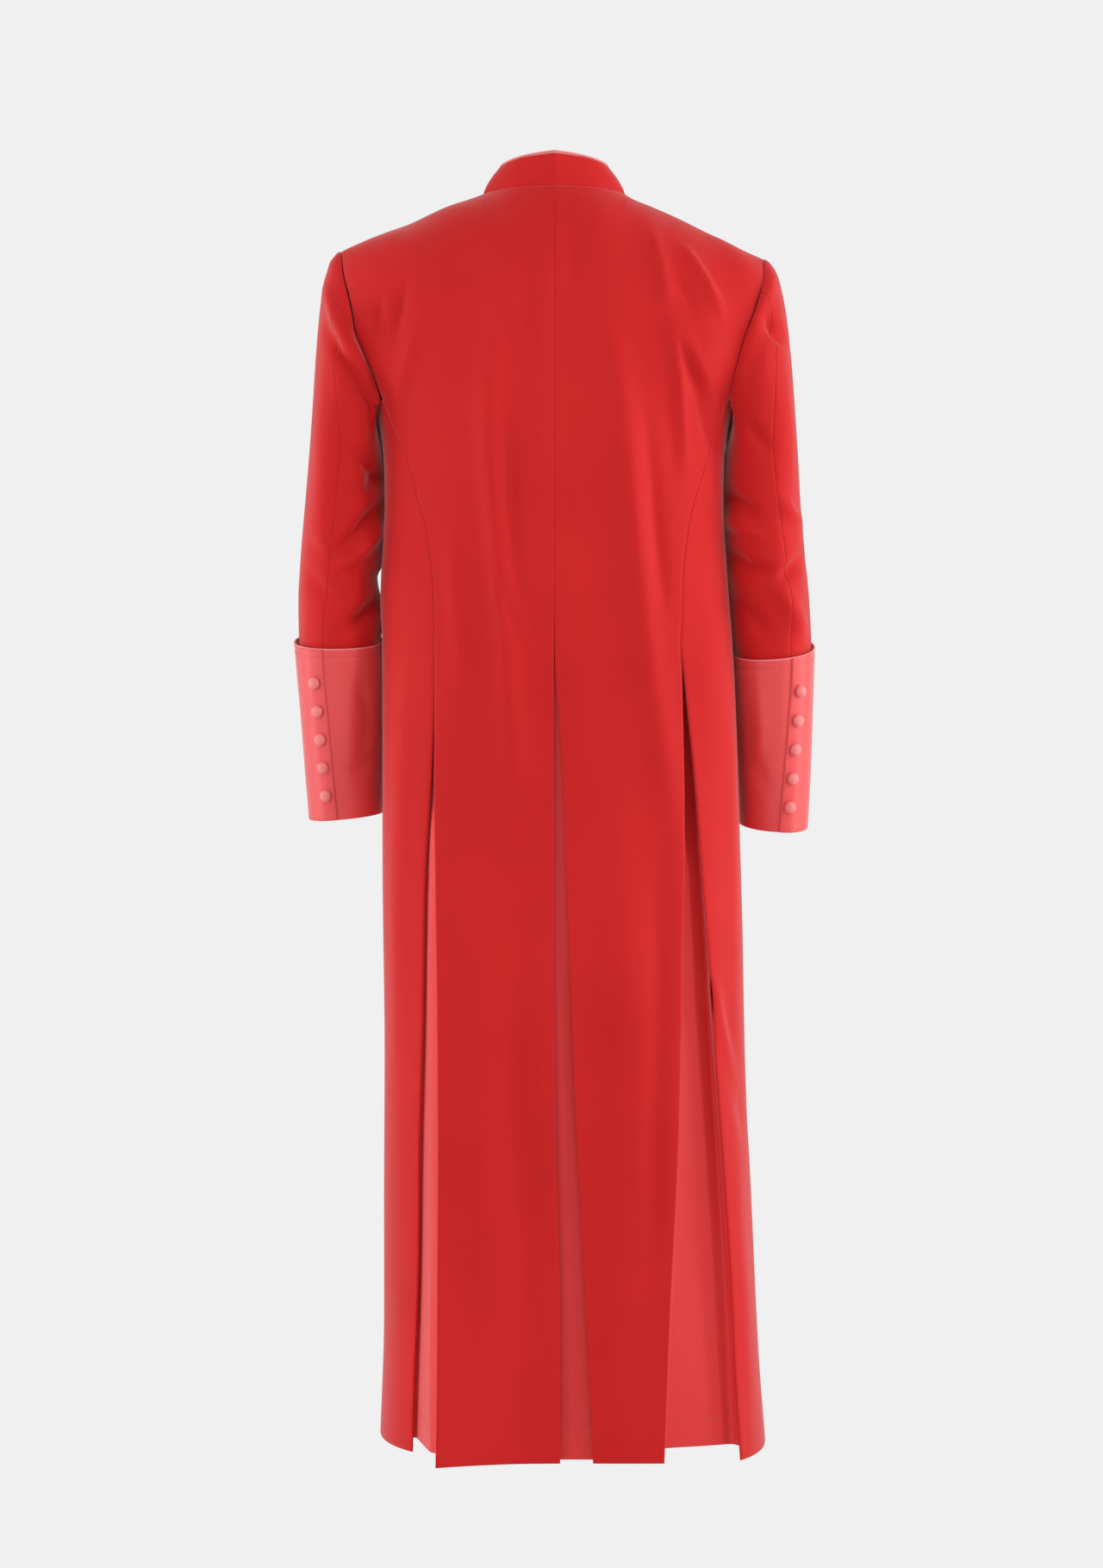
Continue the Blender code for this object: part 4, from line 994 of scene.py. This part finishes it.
def cuts():
    """Every cloth piece of the garment."""
    made = []
    sewn, arm_sewn = (0.0004, 0.0004, 0.0006, 0.0006), (0.0004, 0.0004, 0.0005, 0.0005)
    satin_hem, pressed = (0, 0.0003, 0, 0), (0.0004, 0.0004, 0.0003, 0.0003)
    for side, word in ((1, "left"), (-1, "right")):
        back = yoked_panel(1, side)
        made.append(Cut(f"back_{word}", back, (0, 1, 0), WOOL, (0.0002, 0.0004, 0.0004, 0.0006), "wool_body",
                        BODY_FOLDS, free_below_neck(1, back)))
        front = yoked_panel(-1, side, LAP, 0.0 if side > 0 else LAP_SUNK)
        made.append(Cut(f"front_{word}", front, (0, -1, 0), WOOL, sewn, "wool_body", BODY_FOLDS,
                        free_below_neck(-1, front)))
        made.append(Cut(f"side_{word}", side_panel(side), (side, 0, 0), WOOL, sewn, "wool_body", BODY_FOLDS))
        made.append(Cut(f"pleat_insert_{word}", side_insert(side), (0, 1, 0), SATIN, satin_hem, "satin_trim",
                        BODY_FOLDS))

        def upper(down, side=side):
            return FORE_SEAM - 360, hind_turn(side, down)

        def under(down, side=side):
            return hind_turn(side, down), FORE_SEAM

        for half, turns, out in (("upper", upper, side), ("under", under, -side)):
            grid = sleeve(side, turns)
            down = -grid[..., 2]
            free = np.clip((down - 0.07) / 0.05, 0, 1) * np.clip((CUFF[side][0] + 0.02 - down) / 0.04, 0, 1)
            made.append(Cut(f"sleeve_{half}_{word}", grid, (out, 0, 0), WOOL, arm_sewn, "wool_body",
                            SLEEVE_FOLDS, free))
        grid = cuff(side)
        rim = np.minimum(-grid[..., 2] - CUFF[side][0], CUFF[side][1] - 0.01 + grid[..., 2])
        held = np.clip((abs(grid[..., 0]) - 0.262) / 0.01, 0, 1)
        made.append(Cut(f"cuff_{word}", grid, (-side, -0.5, 0), SATIN, pressed, "satin_trim", CUFF_FOLDS,
                        0.8 * np.clip(rim / 0.02, 0, 1) * (1 - held)))
    made.append(Cut("pleat_insert_centre", centre_insert(), (0, 1, 0), SATIN, satin_hem, "satin_trim",
                    BODY_FOLDS))
    made.append(Cut("collar", collar(), (0, 1, 0), WOOL, (0.0003, 0, 0.0003, 0.0003), "wool_body", [], 0.0))
    return made


def share_seam_normals(made):
    """Gives edge points that two pieces have in common one normal, so that a seam dips evenly."""
    met = {}
    for cut in made:
        edge = np.zeros(cut.grid.shape[:2], bool)
        edge[[0, -1], :] = True
        edge[:, [0, -1]] = True
        for i, j in np.argwhere(edge):
            key = tuple(int(v) for v in np.round(cut.grid[i, j] * 1e4))
            met.setdefault(key, []).append((cut.normal, i, j))
    for places in met.values():
        mean = unit(sum(normal[i, j] for normal, i, j in places))
        for normal, i, j in places:
            normal[i, j] = mean


CLOTH = {"wool_body": WOOL_CLOTH, "satin_trim": SATIN_CLOTH, "cuff": CUFF_CLOTH}
HEM_STITCHED_AT = 0.030
BUTTONS_AT = [0.195 + 0.164 * i for i in range(5)]


def dress():
    """Makes the cloth pieces, the piping, the buttons and the stitching."""
    made = cuts()
    share_seam_normals(made)
    for cut in made:
        grid = draped(cut.grid, cut.normal, cut.folds, cut.free)
        cloth = CLOTH["cuff" if cut.name.startswith("cuff") else cut.slot]
        obj, flat, area = cloth_piece(cut.name + "_cloth", grid, cut.normal, cut.thickness, cut.drops, cloth)
        belongs(obj, cut.slot, cut.name)
        if cut.name.startswith("pleat_insert"):
            row = int(np.argmin(abs(grid[:, 0, 2] - grid[-1, 0, 2] - HEM_STITCHED_AT)))
            line = grid[row] + cut.normal[row] * 0.0001
            belongs(stitch_line("hem_stitching_" + cut.name.split("_")[-1], line, *HEM_STITCH), "satin_trim")
    belongs(collar_piping("collar_piping_roll"), "satin_trim", "collar_piping")
    for side, word in ((1, "left"), (-1, "right")):
        for i, share in enumerate(BUTTONS_AT, 1):
            made_button = button(f"covered_button_{word}_{i}", side, share)
            belongs(made_button, "satin_trim", f"cuff_button_{word}_{i}")
        belongs(cuff_binding(f"cuff_binding_{word}", side), "satin_trim")
        around = np.radians(np.linspace(10, 350, 400) + hind_turn(side, CUFF[side][0]))
        edge = cuff_point(side, STITCHED_AT, around, -0.0003)
        belongs(stitch_line(f"cuff_stitching_{word}", edge, *CUFF_STITCH), "satin_trim")


dress()


def area_light(name, at, target, size, power):
    """A soft rectangular lamp facing a target."""
    lamp = bpy.data.lights.new(name, "AREA")
    lamp.shape = "RECTANGLE"
    lamp.size, lamp.size_y = size
    lamp.energy = power
    obj = placed(name, lamp)
    obj.location = at
    obj.rotation_euler = (Vector(target) - Vector(at)).to_track_quat("-Z", "Y").to_euler()


# Soft studio light: a high broad key from behind the garment, a narrower one to its right that picks out the
# folds, a low fill to its left for the cuffs, and a tall lamp past each flank that grazes the sleeves.
area_light("key", (0.5, 3.2, 1.5), (0, 0, -0.2), (2.2, 1.6), 29)
area_light("fold_key", (-2.4, 1.6, 0.6), (0, 0, -0.4), (0.5, 1.6), 24)
area_light("cuff_fill", (2.2, 2.0, -0.5), (0.2, 0, -0.7), (1.4, 1.8), 14)
area_light("flank_left", (2.1, -0.1, -0.4), (0.1, 0, -0.7), (0.9, 2.2), 23)
area_light("flank_right", (-2.1, 0.1, -0.4), (-0.1, 0, -0.7), (0.9, 2.2), 28)
SHOWN = "#F0F0F0"


def shown_pale(owner, lights, shows, output):
    """Lets one node light the garment, and shows the camera an even pale grey in its place."""
    owner.use_nodes = True
    tree = owner.node_tree
    tree.nodes.clear()
    seen = node(tree, "ShaderNodeLightPath")
    light = node(tree, *lights)
    shown = node(tree, shows, {"Color": linear(SHOWN), "Strength": 1.0})
    mixed = node(tree, "ShaderNodeMixShader", {},
                 {"Fac": (seen, "Is Camera Ray"), 1: (light, 0), 2: (shown, 0)})
    node(tree, output, links={"Surface": (mixed, "Shader")})


def surround():
    """An even pale backdrop, brighter to the eye than the light that it gives."""
    world = bpy.data.worlds.new("pale_studio")
    bpy.context.scene.world = world
    given = ("ShaderNodeBackground", {"Color": linear("#FFFFFF"), "Strength": 0.53})
    shown_pale(world, given, "ShaderNodeBackground", "ShaderNodeOutputWorld")


def floor():
    """A plain pale floor under the hem."""
    material = bpy.data.materials.new("pale_floor")
    matt = ("ShaderNodeBsdfDiffuse", {"Color": linear("#E4E4E4")})
    shown_pale(material, matt, "ShaderNodeEmission", "ShaderNodeOutputMaterial")
    half, low = 3, -1.6
    corners = [(-half, -half, low), (half, -half, low), (half, half, low), (-half, half, low)]
    mesh_piece("floor", corners, [(0, 1, 2, 3)], material)


surround()
floor()

view = bpy.data.cameras.new("behind")
view.lens = 75.16
view.sensor_width = 36
view.sensor_fit = "AUTO"
eye = placed("behind", view)
eye.location = (0.003, EYE_Y, -0.682)
eye.rotation_euler = (math.pi / 2, 0, math.pi)
bpy.context.scene.camera = eye
bpy.context.scene.view_settings.view_transform = "Standard"
